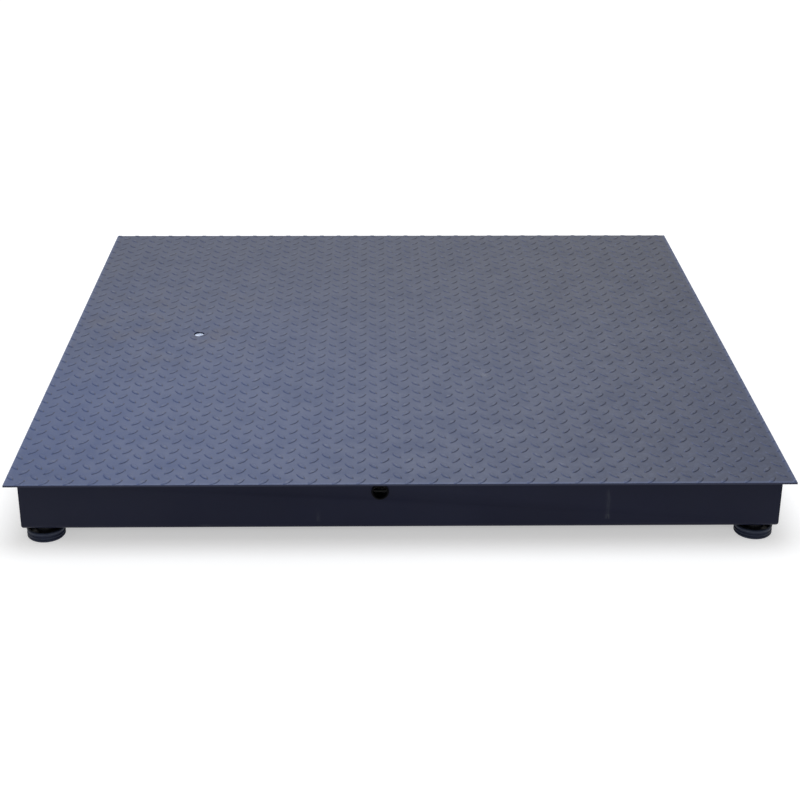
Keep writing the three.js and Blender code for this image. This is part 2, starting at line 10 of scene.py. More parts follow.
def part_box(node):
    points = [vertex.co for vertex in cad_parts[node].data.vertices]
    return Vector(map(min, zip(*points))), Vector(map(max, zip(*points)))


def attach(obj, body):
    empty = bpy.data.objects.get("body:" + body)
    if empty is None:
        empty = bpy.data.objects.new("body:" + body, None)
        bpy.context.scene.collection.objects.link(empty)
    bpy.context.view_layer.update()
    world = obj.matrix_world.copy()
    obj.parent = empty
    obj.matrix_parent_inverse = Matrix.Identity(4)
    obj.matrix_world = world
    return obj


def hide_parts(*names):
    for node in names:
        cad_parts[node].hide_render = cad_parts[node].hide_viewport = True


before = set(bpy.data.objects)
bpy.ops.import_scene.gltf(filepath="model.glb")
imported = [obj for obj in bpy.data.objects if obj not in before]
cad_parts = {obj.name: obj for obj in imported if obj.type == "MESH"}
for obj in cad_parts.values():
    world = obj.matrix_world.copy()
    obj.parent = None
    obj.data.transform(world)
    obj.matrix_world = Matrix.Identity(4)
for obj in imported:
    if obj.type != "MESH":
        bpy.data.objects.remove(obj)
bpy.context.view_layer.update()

MM = 0.001
GAP = 0.3 * MM  # between parts that are fitted together
SIDES = ("left", "right")
CORNERS = ("front_left", "front_right", "rear_left", "rear_right")

# ---- Places read from the frame ----
DECK_LOW, DECK_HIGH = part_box("deck_plate")
DECK_HALF = DECK_HIGH.x
LUG_TOP = DECK_HIGH.z
LUG_HEIGHT = 1 * MM
PLATE_TOP = LUG_TOP - LUG_HEIGHT
PLATE_UNDER = DECK_LOW.z

CHANNEL_LOW, CHANNEL_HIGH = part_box("frame_channel_front")
FRAME_HALF = -CHANNEL_LOW.y
CHANNEL_WIDTH = CHANNEL_HIGH.y - CHANNEL_LOW.y
CHANNEL_HEIGHT = CHANNEL_HIGH.z - CHANNEL_LOW.z
CHANNEL_BOTTOM = CHANNEL_LOW.z
STEEL = 4 * MM
FOLD_OUTER = 6 * MM
FOLD_INNER = FOLD_OUTER - STEEL
FLANGE_UNDER = PLATE_UNDER - STEEL
TRAY_TOP = CHANNEL_BOTTOM + STEEL
FOOT_NOTCH = 68 * MM
CUT_EDGE = 0.35 * MM  # how far the cut edges of bent steel are rounded


def middle(node):
    low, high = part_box(node)
    return (low + high) / 2


OUTLET = middle("cable_grommet")
OUTLET_HOLE = 12.5 * MM
LEVEL = middle("level_vial")
FOOT = {c: Vector((middle("pad_sole_" + c).x, middle("pad_sole_" + c).y, 0)) for c in CORNERS}
FOOT_AT = FOOT["front_right"].x


# ---- Camera ----
CAMERA_PLACE = Vector((-0.044, -2.738, PLATE_TOP + 1.091))
CAMERA_LENS = 71.55  # on a sensor 36 mm wide
CAMERA_PITCH, CAMERA_YAW, CAMERA_ROLL = (math.radians(angle) for angle in (24.0, 1.09, 0.27))


def look_from(place, pitch, yaw, roll):
    """Camera matrix from where it stands and its angles below the horizon, to the right and clockwise."""
    ahead = Vector((math.sin(yaw) * math.cos(pitch), math.cos(yaw) * math.cos(pitch), -math.sin(pitch)))
    right = Vector((math.cos(yaw), -math.sin(yaw), 0))
    up = right.cross(ahead)
    leaning_right = right * math.cos(roll) + up * math.sin(roll)
    leaning_up = up * math.cos(roll) - right * math.sin(roll)
    turned = Matrix((leaning_right, leaning_up, -ahead)).transposed().to_4x4()
    return Matrix.Translation(place) @ turned


def placed(name, data):
    """A new object that shows data, in the scene."""
    made = bpy.data.objects.new(name, data)
    bpy.context.scene.collection.objects.link(made)
    return made


def make_camera():
    data = bpy.data.cameras.new("camera")
    data.sensor_width = 36
    data.lens = CAMERA_LENS
    camera = placed("camera", data)
    camera.matrix_world = look_from(CAMERA_PLACE, CAMERA_PITCH, CAMERA_YAW, CAMERA_ROLL)
    bpy.context.scene.camera = camera


# ---- Materials ----
def feed(tree, source, target):
    """Feeds a socket with another node's output, a number, a vector or a colour."""
    if isinstance(source, (int, float)):
        target.default_value = source
    elif isinstance(source, tuple):
        target.default_value = (*source, 1) if len(target.default_value) == 4 else source
    else:
        tree.links.new(source, target)


def add_node(tree, kind, output, inputs=None, **settings):
    """Adds a shader node, feeds its inputs by name or number and returns one of its outputs."""
    node = tree.nodes.new("ShaderNode" + kind)
    for key, value in settings.items():
        setattr(node, key, value)
    for key, value in (inputs or {}).items():
        feed(tree, value, node.inputs[key])
    return node.outputs[output]


class Nodes:
    """A material's node tree, with short calls for the nodes that the finishes share."""

    def __init__(self, name):
        self.material = bpy.data.materials.new(name)
        self.material.use_nodes = True
        self.tree = self.material.node_tree
        self.shader = self.tree.nodes["Principled BSDF"]
        self.place = self.add("TexCoord", "Object")  # the place at rest, in every pose

    def add(self, kind, output, inputs=None, **settings):
        return add_node(self.tree, kind, output, inputs, **settings)

    def noise(self, size, detail=4, stretch=(1, 1, 1)):
        """Noise from 0 to 1 whose blobs are about size metres across, stretched along the axes."""
        narrowed = tuple(1 / s for s in stretch)
        place = self.add("Mapping", "Vector", {"Vector": self.place, "Scale": narrowed})
        inputs = {"Vector": place, "Scale": 1 / size, "Detail": detail, "Roughness": 0.55}
        return self.add("TexNoise", "Fac", inputs)

    def ramp(self, value, low, high, to_low=0.0, to_high=1.0):
        """Maps low..high of a value to to_low..to_high, with soft ends."""
        inputs = {"Value": value, "From Min": low, "From Max": high, "To Min": to_low, "To Max": to_high}
        return self.add("MapRange", "Result", inputs, interpolation_type="SMOOTHSTEP")

    def fade(self, value, full, none):
        """1 up to full, falling to 0 at none."""
        return self.ramp(value, full, none, 1.0, 0.0)

    def patches(self, size, detail, low, high, to_low=0.0, to_high=1.0):
        """Noise whose low..high is mapped to to_low..to_high."""
        return self.ramp(self.noise(size, detail), low, high, to_low, to_high)

    def math(self, operation, a, b=0.0):
        return self.add("Math", 0, {0: a, 1: b}, operation=operation)

    def times(self, product, *factors):
        for factor in factors:
            product = self.math("MULTIPLY", product, factor)
        return product

    def distance(self, value, centre):
        """How far a value is from centre."""
        return self.math("ABSOLUTE", self.math("SUBTRACT", value, centre))

    def mix(self, share, a, b):
        """a where share is 0 and b where it is 1."""
        return self.add("Mix", "Result", {"Factor": share, "A": a, "B": b}, data_type="RGBA")

    def tint(self, base, color, *shares):
        """base with color over it, by the product of the shares."""
        return self.mix(self.times(*shares), base, color)

    def axis(self, letter):
        """The place's X, Y or Z."""
        return self.add("SeparateXYZ", letter, {0: self.place})

    def normal(self, letter):
        """The face normal's X, Y or Z part."""
        return self.add("SeparateXYZ", letter, {0: self.add("NewGeometry", "True Normal")})

    def near(self, x, y, radius):
        """1 at a point of the plan, falling to 0 at radius."""
        dx = self.math("SUBTRACT", self.axis("X"), x)
        dy = self.math("SUBTRACT", self.axis("Y"), y)
        away = self.math("SQRT", self.math("ADD", self.times(dx, dx), self.times(dy, dy)))
        return self.fade(away, 0.0, radius)

    def bump(self, *layers):
        """Bump from (height, depth in metres) pairs, one on the other."""
        before = {}
        for height, depth in layers:
            inputs = {"Strength": 1.0, "Distance": depth, "Height": height, **before}
            before = {"Normal": self.add("Bump", "Normal", inputs)}
        feed(self.tree, before["Normal"], self.shader.inputs["Normal"])

    def finish(self, color, roughness, metallic=0.0, **fixed):
        """The finished material. The fixed values are set on the shader's own sockets."""
        inputs = {"Base Color": color, "Roughness": roughness, "Metallic": metallic}
        inputs.update({key.replace("_", " "): value for key, value in fixed.items()})
        for key, value in inputs.items():
            feed(self.tree, value, self.shader.inputs[key])
        return self.material


def edge_wear(n):
    """Where the surface turns sharply outwards, broken up by noise."""
    turned = n.ramp(n.add("NewGeometry", "Pointiness"), 0.52, 0.6)
    return n.times(turned, n.patches(6 * MM, 4, 0.45, 0.65))


def facing(n, upwards):
    """1 on faces that look up (upwards 1) or down (upwards -1), 0 on the others."""
    return n.ramp(n.times(n.normal("Z"), upwards), 0.3, 0.6)


def near_rim(n, width):
    """1 at the deck's front and side edges, falling to 0 at width inside them."""
    out = n.math("MAXIMUM", n.math("ABSOLUTE", n.axis("X")), n.times(n.axis("Y"), -1))
    return n.ramp(out, DECK_HALF - width, DECK_HALF - 0.3 * width)


def shaded_lug_flanks(n):
    """1 on the steep sides of the lugs, where the colour is darkened as painted shade, 0 on plate and
    crowns.
    """
    foot = n.ramp(n.axis("Z"), PLATE_TOP + 0.02 * MM, PLATE_TOP + 0.2 * MM)
    return n.times(foot, n.fade(n.axis("Z"), PLATE_TOP + 0.6 * MM, PLATE_TOP + 0.93 * MM))


def deck_enamel(n):
    """Blue-grey that turns greyer to the right and to the rear, with fine lighter speckle. Its blue to the
    left is painted light, and its lightness over the frame's navy is partly its own enamel and partly
    painted sky sheen.
    """
    # painted light: blue stands for the more brightly lit left of the deck, grey for the right in less light
    blue, slate = (0.068, 0.098, 0.208), (0.061, 0.082, 0.154)
    grey, rear = (0.052, 0.061, 0.098), (0.055, 0.061, 0.084)
    base = n.mix(n.ramp(n.axis("X"), -0.55, 0.62), blue, grey)
    base = n.tint(base, slate, n.patches(0.22, 3, 0.35, 0.7, 0.0, 0.3))
    base = n.tint(base, rear, n.ramp(n.axis("Y"), -0.45, 0.55, 0.0, 0.65))
    return n.tint(base, (0.090, 0.112, 0.190), n.patches(9 * MM, 5, 0.42, 0.72, 0.0, 0.35))


DUSTY_SPOT = (-0.42, 0.05, 0.34)  # x, y and radius on the deck
CHIPPED_SPOT = (0.153, -0.182, 0.012)


def deck_paint():
    """Blue-grey hammered enamel with wear and a painted highlight on the lugs' crowns, painted shade on
    their flanks, a painted highlight along the rim and painted shade on the upright cut edges.
    """
    n = Nodes("deck_paint")
    dust, bare = (0.100, 0.086, 0.076), (0.24, 0.25, 0.28)
    crown_wear_and_highlight, painted_rim_highlight = (0.16, 0.175, 0.23), (0.095, 0.126, 0.245)
    cut_edge, underside = (0.0055, 0.0095, 0.038), (0.0065, 0.0085, 0.026)
    # painted lit and shaded colours for the lugs' flanks
    painted_lit_flank, painted_shaded_flank = (0.026, 0.052, 0.175), (0.012, 0.009, 0.012)
    base = deck_enamel(n)
    base = n.tint(base, dust, n.near(*DUSTY_SPOT), n.patches(0.06, 5, 0.48, 0.7), 0.3)
    base = n.tint(base, bare, n.near(*CHIPPED_SPOT), n.patches(2 * MM, 4, 0.45, 0.6), 0.6)
    # wear on the lugs' crowns, lightened further as a painted highlight
    crown = n.ramp(n.axis("Z"), PLATE_TOP + 0.75 * MM, LUG_TOP)
    crown_wear_and_shine = n.times(crown, n.patches(0.018, 5, 0.5, 0.72))
    base = n.tint(base, crown_wear_and_highlight, crown_wear_and_shine, 0.35)
    # painted shade on the lugs' flanks: those facing +X darkened, those facing -X lighter and bluer, as the
    # light falls on them
    sideways = n.normal("X")
    painted_flank_shade = n.mix(n.ramp(sideways, -0.1, 0.1), painted_lit_flank, painted_shaded_flank)
    base = n.tint(base, painted_flank_shade, shaded_lug_flanks(n), n.ramp(sideways, -0.1, 0.1, 0.4, 0.58))
    # painted highlight along the deck's front and side edges
    base = n.tint(base, painted_rim_highlight, near_rim(n, 8 * MM), 0.5)
    # painted shade: only faces that look up keep the enamel, and the upright cut edges turn dark navy
    base = n.mix(facing(n, 1), cut_edge, base)
    base = n.tint(base, underside, facing(n, -1))
    rough = n.math("SUBTRACT", n.patches(0.05, 5, 0.3, 0.75, 0.37, 0.49), n.times(crown_wear_and_shine, 0.1))
    n.bump((n.noise(1.6 * MM, 3), 0.05 * MM), (n.noise(12 * MM, 2), 0.16 * MM))
    return n.finish(base, rough, Specular_IOR_Level=0.35)


SKIRT_SCUFFS = (  # place along the front skirt, half width, lower and upper end, and strength
    (-0.1275, 4.5 * MM, 34 * MM, 62 * MM, 0.25),
    (0.317, 6 * MM, 34 * MM, 96 * MM, 0.25),
    (0.317, 5 * MM, 38 * MM, 48 * MM, 0.5),
    (-0.300, 16 * MM, 18 * MM, 34 * MM, 0.2),
)


def skirt_scuff(n, x, half_width, bottom, top):
    """1 in the upright scratches that a pallet truck has left on the front skirt."""
    on_front = n.fade(n.axis("Y"), -FRAME_HALF + 1 * MM, -FRAME_HALF + 2 * MM)
    across = n.fade(n.distance(n.axis("X"), x), 0.0, half_width)
    from_middle = n.distance(n.axis("Z"), (bottom + top) / 2)
    up = n.fade(from_middle, (top - bottom) / 4, (top - bottom) / 2)
    streaks = n.ramp(n.noise(2.5 * MM, 4, stretch=(1, 1, 9)), 0.38, 0.56)
    return n.times(on_front, across, up, streaks)


def frame_paint():
    """Dark navy enamel with a slight orange peel, lighter towards the left, with a painted highlight along
    the lower folds.
    """
    n = Nodes("frame_paint")
    navy, lifted, speckle = (0.0044, 0.0060, 0.0212), (0.0060, 0.0079, 0.0250), (0.0066, 0.0086, 0.0245)
    dust, painted_fold_highlight, scratched = (0.0088, 0.0108, 0.0268), (0.014, 0.0165, 0.032), (0.05, 0.054, 0.066)
    base = n.mix(n.patches(0.16, 4, 0.35, 0.7), navy, lifted)
    base = n.tint(base, speckle, n.patches(3 * MM, 4, 0.5, 0.8, 0.0, 0.2))
    # lighter towards the left
    base = n.tint(base, dust, n.fade(n.axis("X"), -0.6, -0.15), n.patches(0.05, 4, 0.3, 0.7, 0.5, 0.8))
    # painted highlight: a lighter line where the lower fold starts
    fold = n.fade(n.distance(n.axis("Z"), CHANNEL_BOTTOM + FOLD_OUTER), 0.0, 1.4 * MM)
    base = n.tint(base, painted_fold_highlight, fold, n.patches(0.05, 4, 0.42, 0.6), 0.5)
    for *place, strength in SKIRT_SCUFFS:
        base = n.tint(base, scratched, skirt_scuff(n, *place), strength)
    n.bump((n.noise(1.8 * MM, 3), 0.02 * MM), (n.noise(20 * MM, 2), 0.10 * MM))
    return n.finish(base, n.patches(0.04, 5, 0.3, 0.75, 0.34, 0.48), Specular_IOR_Level=0.12)


def pad_paint():
    """Near-black enamel of the foot's base, chipped on its edges."""
    n = Nodes("pad_paint")
    base = n.mix(n.patches(8 * MM, 4, 0.4, 0.7), (0.003, 0.004, 0.008), (0.006, 0.008, 0.015))
    base = n.tint(base, (0.09, 0.10, 0.13), edge_wear(n), 0.3)
    n.bump((n.noise(1.2 * MM, 3), 0.03 * MM))
    return n.finish(base, n.patches(5 * MM, 4, 0.3, 0.7, 0.35, 0.5))


def plated_steel(name, light, dark, grain, rough):
    """Plated steel with fine tool marks along grain."""
    n = Nodes(name)
    base = n.mix(n.patches(7 * MM, 5, 0.35, 0.7), light, dark)
    lines = n.noise(0.5 * MM, 3, stretch=grain)
    base = n.tint(base, tuple(0.6 * c for c in dark), n.ramp(lines, 0.35, 0.7, 0.0, 0.3))
    n.bump((lines, 0.012 * MM))
    return n.finish(base, n.ramp(lines, 0.25, 0.75, *rough), 1.0)


def rubber():
    """Blue-black rubber, dusty in patches, with a painted highlight round its lip."""
    n = Nodes("rubber")
    base = n.mix(n.patches(6 * MM, 5, 0.4, 0.75), (0.0080, 0.0135, 0.036), (0.012, 0.020, 0.050))
    base = n.tint(base, (0.036, 0.040, 0.052), n.patches(0.02, 5, 0.55, 0.8, 0.0, 0.25))
    # painted highlight: a lighter band round the lip, where the bead catches light
    height = n.axis("Z")
    lip = n.times(n.ramp(height, 10 * MM, 12.5 * MM), n.fade(height, 16 * MM, 20 * MM))
    base = n.tint(base, (0.030, 0.040, 0.068), lip, n.patches(0.012, 4, 0.3, 0.7, 0.4, 1.0), 0.8)
    n.bump((n.noise(0.9 * MM, 3), 0.04 * MM))
    return n.finish(base, n.patches(4 * MM, 4, 0.3, 0.7, 0.42, 0.58), Specular_IOR_Level=0.3)


def hole_shade_rubber():
    """Dull black rubber of the grommet, near-black partly as its own black and partly as painted shade, as
    dark as the hole that it lines.
    """
    n = Nodes("hole_shade_rubber")
    # near-black: its own black rubber, darkened further as painted shade of the hole
    base = n.mix(n.patches(3 * MM, 4, 0.4, 0.75), (0.0015, 0.0015, 0.002), (0.003, 0.003, 0.004))
    n.bump((n.noise(0.9 * MM, 3), 0.04 * MM))
    return n.finish(base, n.patches(4 * MM, 4, 0.3, 0.7, 0.7, 0.85), Specular_IOR_Level=0.08)


def moulded(name, light, dark, rough):
    """Moulded plastic with a fine eroded surface."""
    n = Nodes(name)
    base = n.mix(n.patches(0.03, 4, 0.35, 0.7), light, dark)
    n.bump((n.noise(0.7 * MM, 3), 0.02 * MM))
    return n.finish(base, n.patches(3 * MM, 4, 0.3, 0.75, *rough))


def board_green():
    """Green lacquer over raised copper tracks."""
    n = Nodes("board_green")
    lines = n.add("TexBrick", "Fac", {"Vector": n.place, "Scale": 120, "Mortar Size": 0.06})
    tracks = n.times(lines, n.patches(5 * MM, 4, 0.45, 0.5))
    n.bump((tracks, 0.03 * MM))
    base = n.mix(tracks, (0.012, 0.10, 0.035), (0.03, 0.19, 0.06))
    return n.finish(base, n.patches(4 * MM, 4, 0.3, 0.7, 0.25, 0.35))


def vial_acrylic():
    """Cast acrylic that shows the pale blue liquid inside it."""
    n = Nodes("vial_acrylic")
    base = n.mix(n.patches(4 * MM, 3, 0.35, 0.7), (0.60, 0.72, 0.98), (0.72, 0.81, 1.0))
    n.bump((n.noise(5 * MM, 2), 0.03 * MM))
    haze = n.patches(3 * MM, 4, 0.4, 0.8, 0.06, 0.14)
    return n.finish(base, haze, Transmission_Weight=0.15, IOR=1.45, Coat_Weight=0.4)


METALS = {  # two shades, how far tool marks stretch along each axis, and the lowest and highest roughness
    "cell_nickel": ((0.52, 0.51, 0.48), (0.44, 0.43, 0.41), (12, 1, 1), (0.26, 0.42)),
    "zinc": ((0.50, 0.52, 0.55), (0.38, 0.40, 0.43), (1, 1, 0.3), (0.28, 0.45)),
}
PLASTICS = {  # two shades, and the lowest and highest roughness
    "nylon": ((0.60, 0.58, 0.50), (0.52, 0.50, 0.43), (0.4, 0.55)),
    "cable_sheath": ((0.012, 0.012, 0.014), (0.02, 0.02, 0.022), (0.4, 0.6)),
    "box_plastic": ((0.34, 0.35, 0.36), (0.29, 0.30, 0.31), (0.42, 0.55)),
    "gland_plastic": ((0.006, 0.006, 0.007), (0.010, 0.010, 0.011), (0.4, 0.5)),
    "terminal_plastic": ((0.02, 0.14, 0.34), (0.025, 0.17, 0.38), (0.3, 0.42)),
    "level_plastic": ((0.74, 0.77, 0.80), (0.66, 0.69, 0.73), (0.3, 0.45)),
    "potting": ((0.55, 0.55, 0.53), (0.45, 0.45, 0.44), (0.35, 0.5)),
}


def make_materials():
    """Every look, by the name of its material slot or a name of its own."""
    looks = {
        "deck_paint": deck_paint(),
        "frame_paint": frame_paint(),
        "pad_steel": pad_paint(),
        "rubber": rubber(),
        "hole_shade_rubber": hole_shade_rubber(),
        "board": board_green(),
        "level_glass": vial_acrylic(),
    }
    for name, finish in METALS.items():
        looks[name] = plated_steel(name, *finish)
    for name, finish in PLASTICS.items():
        looks[name] = moulded(name, *finish)
    return looks


# ---- Mesh helpers ----
def keep(name, mesh, look, body="platform", stands_for=None, smooth=35):
    """Links a finished mesh as a piece of the object: its material, its body and the node it stands for."""
    piece = placed(name, mesh)
    mesh.materials.clear()
    mesh.materials.append(LOOKS[look])
    mesh.polygons.foreach_set("use_smooth", [True] * len(mesh.polygons))
    mesh.set_sharp_from_angle(angle=math.radians(smooth))
    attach(piece, body)
    if stands_for:
        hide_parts(stands_for)
    return piece


def mesh_from(vertices, faces):
    mesh = bpy.data.meshes.new("mesh")
    mesh.from_pydata([tuple(v) for v in vertices], [], faces)
    mesh.validate()
    mesh.update()
    return mesh


def from_bmesh(bm, flip=True):
    """The mesh of bm, its faces turned outwards unless flip is False."""
    if flip:
        bmesh.ops.recalc_face_normals(bm, faces=bm.faces)
    mesh = bpy.data.meshes.new("mesh")
    bm.to_mesh(mesh)
    bm.free()
    return mesh


def moved(mesh, matrix):
    mesh.transform(matrix)
    return mesh


def mm(*numbers):
    """Numbers in millimetres, as metres."""
    return tuple(number * MM for number in numbers)


def at(x, y, z=0):
    return Matrix.Translation((x, y, z))


def turn(degrees, axis="Z"):
    return Matrix.Rotation(math.radians(degrees), 4, axis)


TO_FRONT = turn(90, "X")  # a piece drawn along +Z then points to -Y
TO_REAR = turn(-90, "X")
TO_RIGHT = turn(90, "Y")
TO_LEFT = turn(-90, "Y")


def joined(*meshes):
    """One mesh that holds all the given closed shells."""
    bm = bmesh.new()
    for mesh in meshes:
        bm.from_mesh(mesh)
        bpy.data.meshes.remove(mesh)
    return from_bmesh(bm, flip=False)


def boolean(mesh, tools, operation="DIFFERENCE"):
    """mesh cut by, or kept inside, closed tool meshes. The tools are used up."""
    body = placed("cut_body", mesh)
    helpers = []
    for tool in tools:
        helper = placed("cut_tool", tool)
        modifier = body.modifiers.new("cut", "BOOLEAN")
        modifier.operation = operation
        modifier.solver = "MANIFOLD"
        modifier.object = helper
        helpers.append(helper)
    view = bpy.context.evaluated_depsgraph_get()
    made = bpy.data.meshes.new_from_object(body.evaluated_get(view), depsgraph=view)
    for spare in [body, *helpers]:
        data = spare.data
        bpy.data.objects.remove(spare)
        bpy.data.meshes.remove(data)
    return made


def softened(mesh, width, segments=2, angle=40):
    """mesh with its edges rounded where they turn by more than angle."""
    bm = bmesh.new()
    bm.from_mesh(mesh)
    bpy.data.meshes.remove(mesh)
    bmesh.ops.dissolve_limit(bm, angle_limit=math.radians(1), verts=bm.verts, edges=bm.edges)
    edges = [e for e in bm.edges if e.is_manifold and e.calc_face_angle() > math.radians(angle)]
    bmesh.ops.bevel(
        bm, geom=edges, offset=width, segments=segments, profile=0.5, affect="EDGES", clamp_overlap=True
    )
    return from_bmesh(bm)


def skin(rings, closed=False):
    """Mesh between rings of points. A ring may be one point. Open ends are capped unless it is closed."""
    bm = bmesh.new()
    rings = [[bm.verts.new(point) for point in ring] for ring in rings]
    if not closed:
        for end in (rings[0], rings[-1]):
            if len(end) > 2:
                bm.faces.new(end)
    for a, b in zip(rings, rings[1:] + rings[:1] if closed else rings[1:]):
        count = max(len(a), len(b))
        for i in range(count):
            j = (i + 1) % count
            around = [a[i % len(a)], a[j % len(a)], b[j % len(b)], b[i % len(b)]]
            corners = list(dict.fromkeys(around))
            if len(corners) > 2:
                bm.faces.new(corners)
    return from_bmesh(bm)


def circle(radius, z, sides):
    """Points round the Z axis, or the one point on it where there is no radius."""
    if radius < 1e-9:
        return [(0, 0, z)]
    angles = [2 * math.pi * i / sides for i in range(sides)]
    return [(radius * math.cos(a), radius * math.sin(a), z) for a in angles]


def revolve(profile, sides=48, closed=False):
    """Solid of revolution about Z from (radius, height) points that start and end on the axis, or a ring
    from a closed loop of them that keeps off it."""
    return skin([circle(radius, z, sides) for radius, z in profile], closed)


def arc(cx, cz, radius, start, stop, steps=6):
    """Points of an arc, from start to stop in degrees."""
    angles = [math.radians(start + (stop - start) * i / steps) for i in range(steps + 1)]
    return [(cx + radius * math.cos(a), cz + radius * math.sin(a)) for a in angles]


def lengthwise(outline, length):
    """Prism along Y, centred on its length, from (x, z) points."""
    return skin([[(x, y, z) for x, z in outline] for y in (-length / 2, length / 2)])


def upright(outline, low, high):
    """Prism along Z from low to high, from (x, y) points."""
    half = (high - low) / 2
    mesh = skin([[(x, y, z) for x, y in outline] for z in (-half, half)])
    return moved(mesh, at(0, 0, (low + high) / 2))


def block(low, high):
    outline = [(low[0], low[1]), (high[0], low[1]), (high[0], high[1]), (low[0], high[1])]
    return upright(outline, low[2], high[2])


def round_bar(radius, low, high, sides=48, place=None):
    """Cylinder along Z, then moved to its place."""
    bar = revolve([(0, low), (radius, low), (radius, high), (0, high)], sides)
    return moved(bar, place) if place else bar


def hexagon(flats, low, high, ends="both"):
    """Hex prism whose corners are turned down at its ends, as on a nut or a bolt head."""
    radius = flats / math.sqrt(3)
    outline = [(radius * math.cos(math.pi * i / 3), radius * math.sin(math.pi * i / 3)) for i in range(6)]
    body = upright(outline, low, high)
    face = flats / 2 * 0.96
    out = radius + 1 * MM
    drop = 0.58 * (out - face)
    top = [(out, high)] if ends == "bottom" else [(out, high - drop), (face, high)]
    bottom = [(out, low)] if ends == "top" else [(face, low), (out, low + drop)]
    lathe = revolve([(0, low), *bottom, *top, (0, high)], 64)
    return boolean(body, [lathe], "INTERSECT")


def thread(radius, pitch, low, high):
    """Rod with a helical V thread from low to high, its top turned down to a point chamfer."""
    sides, per_turn, depth = 32, 6, 0.9 * MM
    rows = int((high - low) / pitch * per_turn)
    rings = []
    for k in range(rows + 1):
        z = low + (high - low) * k / rows
        taper = min(1.0, (high - z) / (1.6 * MM) + 0.25)
        ring = []
        for i in range(sides):
            crest = 1 - abs(2 * ((z / pitch - i / sides) % 1.0) - 1)
            r = (radius - depth * (1 - min(1.0, 1.25 * crest))) * (0.8 + 0.2 * taper)
            a = 2 * math.pi * i / sides
            ring.append((r * math.cos(a), r * math.sin(a), z))
        rings.append(ring)
    return skin(rings)


def smooth_path(points):
    """Centripetal Catmull-Rom curve through points, as points about 5 mm apart."""
    p = [Vector(q) for q in points]
    p = [2 * p[0] - p[1], *p, 2 * p[-1] - p[-2]]
    out = []
    for a, b, c, d in zip(p, p[1:], p[2:], p[3:]):
        t = [0.0]
        for u, v in ((a, b), (b, c), (c, d)):
            t.append(t[-1] + max((v - u).length, 1e-6) ** 0.5)
        steps = max(2, int((c - b).length / (5 * MM)))
        for k in range(steps):
            s = t[1] + (t[2] - t[1]) * k / steps
            ab = a.lerp(b, s / t[1])
            bc = b.lerp(c, (s - t[1]) / (t[2] - t[1]))
            cd = c.lerp(d, (s - t[2]) / (t[3] - t[2]))
            abc = ab.lerp(bc, s / t[2])
            bcd = bc.lerp(cd, (s - t[1]) / (t[3] - t[1]))
            out.append(abc.lerp(bcd, (s - t[1]) / (t[2] - t[1])))
    out.append(p[-2])
    return out


def tube(path, radius, sides, wave=0.0):
    """Tube along a path, its radius rippled by wave every 5 mm and its ends pinched, as in a weld bead."""
    angles = [2 * math.pi * k / sides for k in range(sides)]
    last = len(path) - 1
    travelled = 0.0
    side = None
    rings = []
    for i, point in enumerate(path):
        ahead = (path[min(i + 1, last)] - path[max(i - 1, 0)]).normalized()
        if side is None:
            side = ahead.orthogonal().normalized()
        side = (side - ahead * side.dot(ahead)).normalized()
        other = ahead.cross(side)
        if i:
            travelled += (point - path[i - 1]).length
        r = radius * (1 + wave * math.sin(2 * math.pi * travelled / (5 * MM)))
        if wave and i in (0, last):
            r *= 0.35
        rings.append([point + r * (math.cos(a) * side + math.sin(a) * other) for a in angles])
    return skin(rings)


# ---- Tread-plate deck ----
LUG_PITCH = Vector((36.75 * MM, 35.5 * MM))  # between lugs that lie the same way, across and front to back
LUG_OFFSET = Vector((-6.3 * MM, -5.1 * MM))  # where the pattern sits on the cut plate
LUG_LENGTH = 24 * MM
LUG_WIDTH = 8 * MM
LUG_LEAN = 54  # degrees from the X axis
LUG_POINTS = 12
LUG_CONTOURS = (  # shares of the length and width, then of the height at the sides and at the ends
    (1.0, 1.0, 0.0, 0.0),
    (0.84, 0.74, 0.84, 0.50),
    (0.54, 0.40, 0.98, 0.84),
)
LEVEL_HOLE = 10 * MM
ARRIS = 0.25 * MM


def lug_contour(lean, along, across, sides, ends):
    """Points of one level line of a lens-shaped lug that dies away towards its ends."""
    c, s = math.cos(math.radians(lean)), math.sin(math.radians(lean))
    points = []
    for k in range(LUG_POINTS):
        a = 2 * math.pi * (k + 0.5) / LUG_POINTS
        u = along * LUG_LENGTH / 2 * math.cos(a)
        v = across * LUG_WIDTH / 2 * math.copysign(abs(math.sin(a)) ** 1.25, math.sin(a))
        share = ends + (sides - ends) * math.sin(a) ** 2
        points.append((u * c - v * s, u * s + v * c, PLATE_TOP + share * LUG_HEIGHT))
    return points


def lug_tile(lean):
    """Vertices and faces of one diamond of plate with its lug in the middle."""
    half = LUG_PITCH / 2
    vertices = [(x, y, PLATE_TOP) for x, y in ((half.x, 0), (0, half.y), (-half.x, 0), (0, -half.y))]
    starts = []
    for contour in LUG_CONTOURS:
        starts.append(len(vertices))
        vertices += lug_contour(lean, *contour)
    crown = len(vertices)
    vertices.append((0, 0, LUG_TOP))
    n = LUG_POINTS
    faces = []
    for a, b in zip(starts, starts[1:]):
        faces += [(a + k, a + (k + 1) % n, b + (k + 1) % n, b + k) for k in range(n)]
    last = starts[-1]
    faces += [(last + k, last + (k + 1) % n, crown) for k in range(n)]
    return vertices, faces + plate_faces(vertices, starts[0])


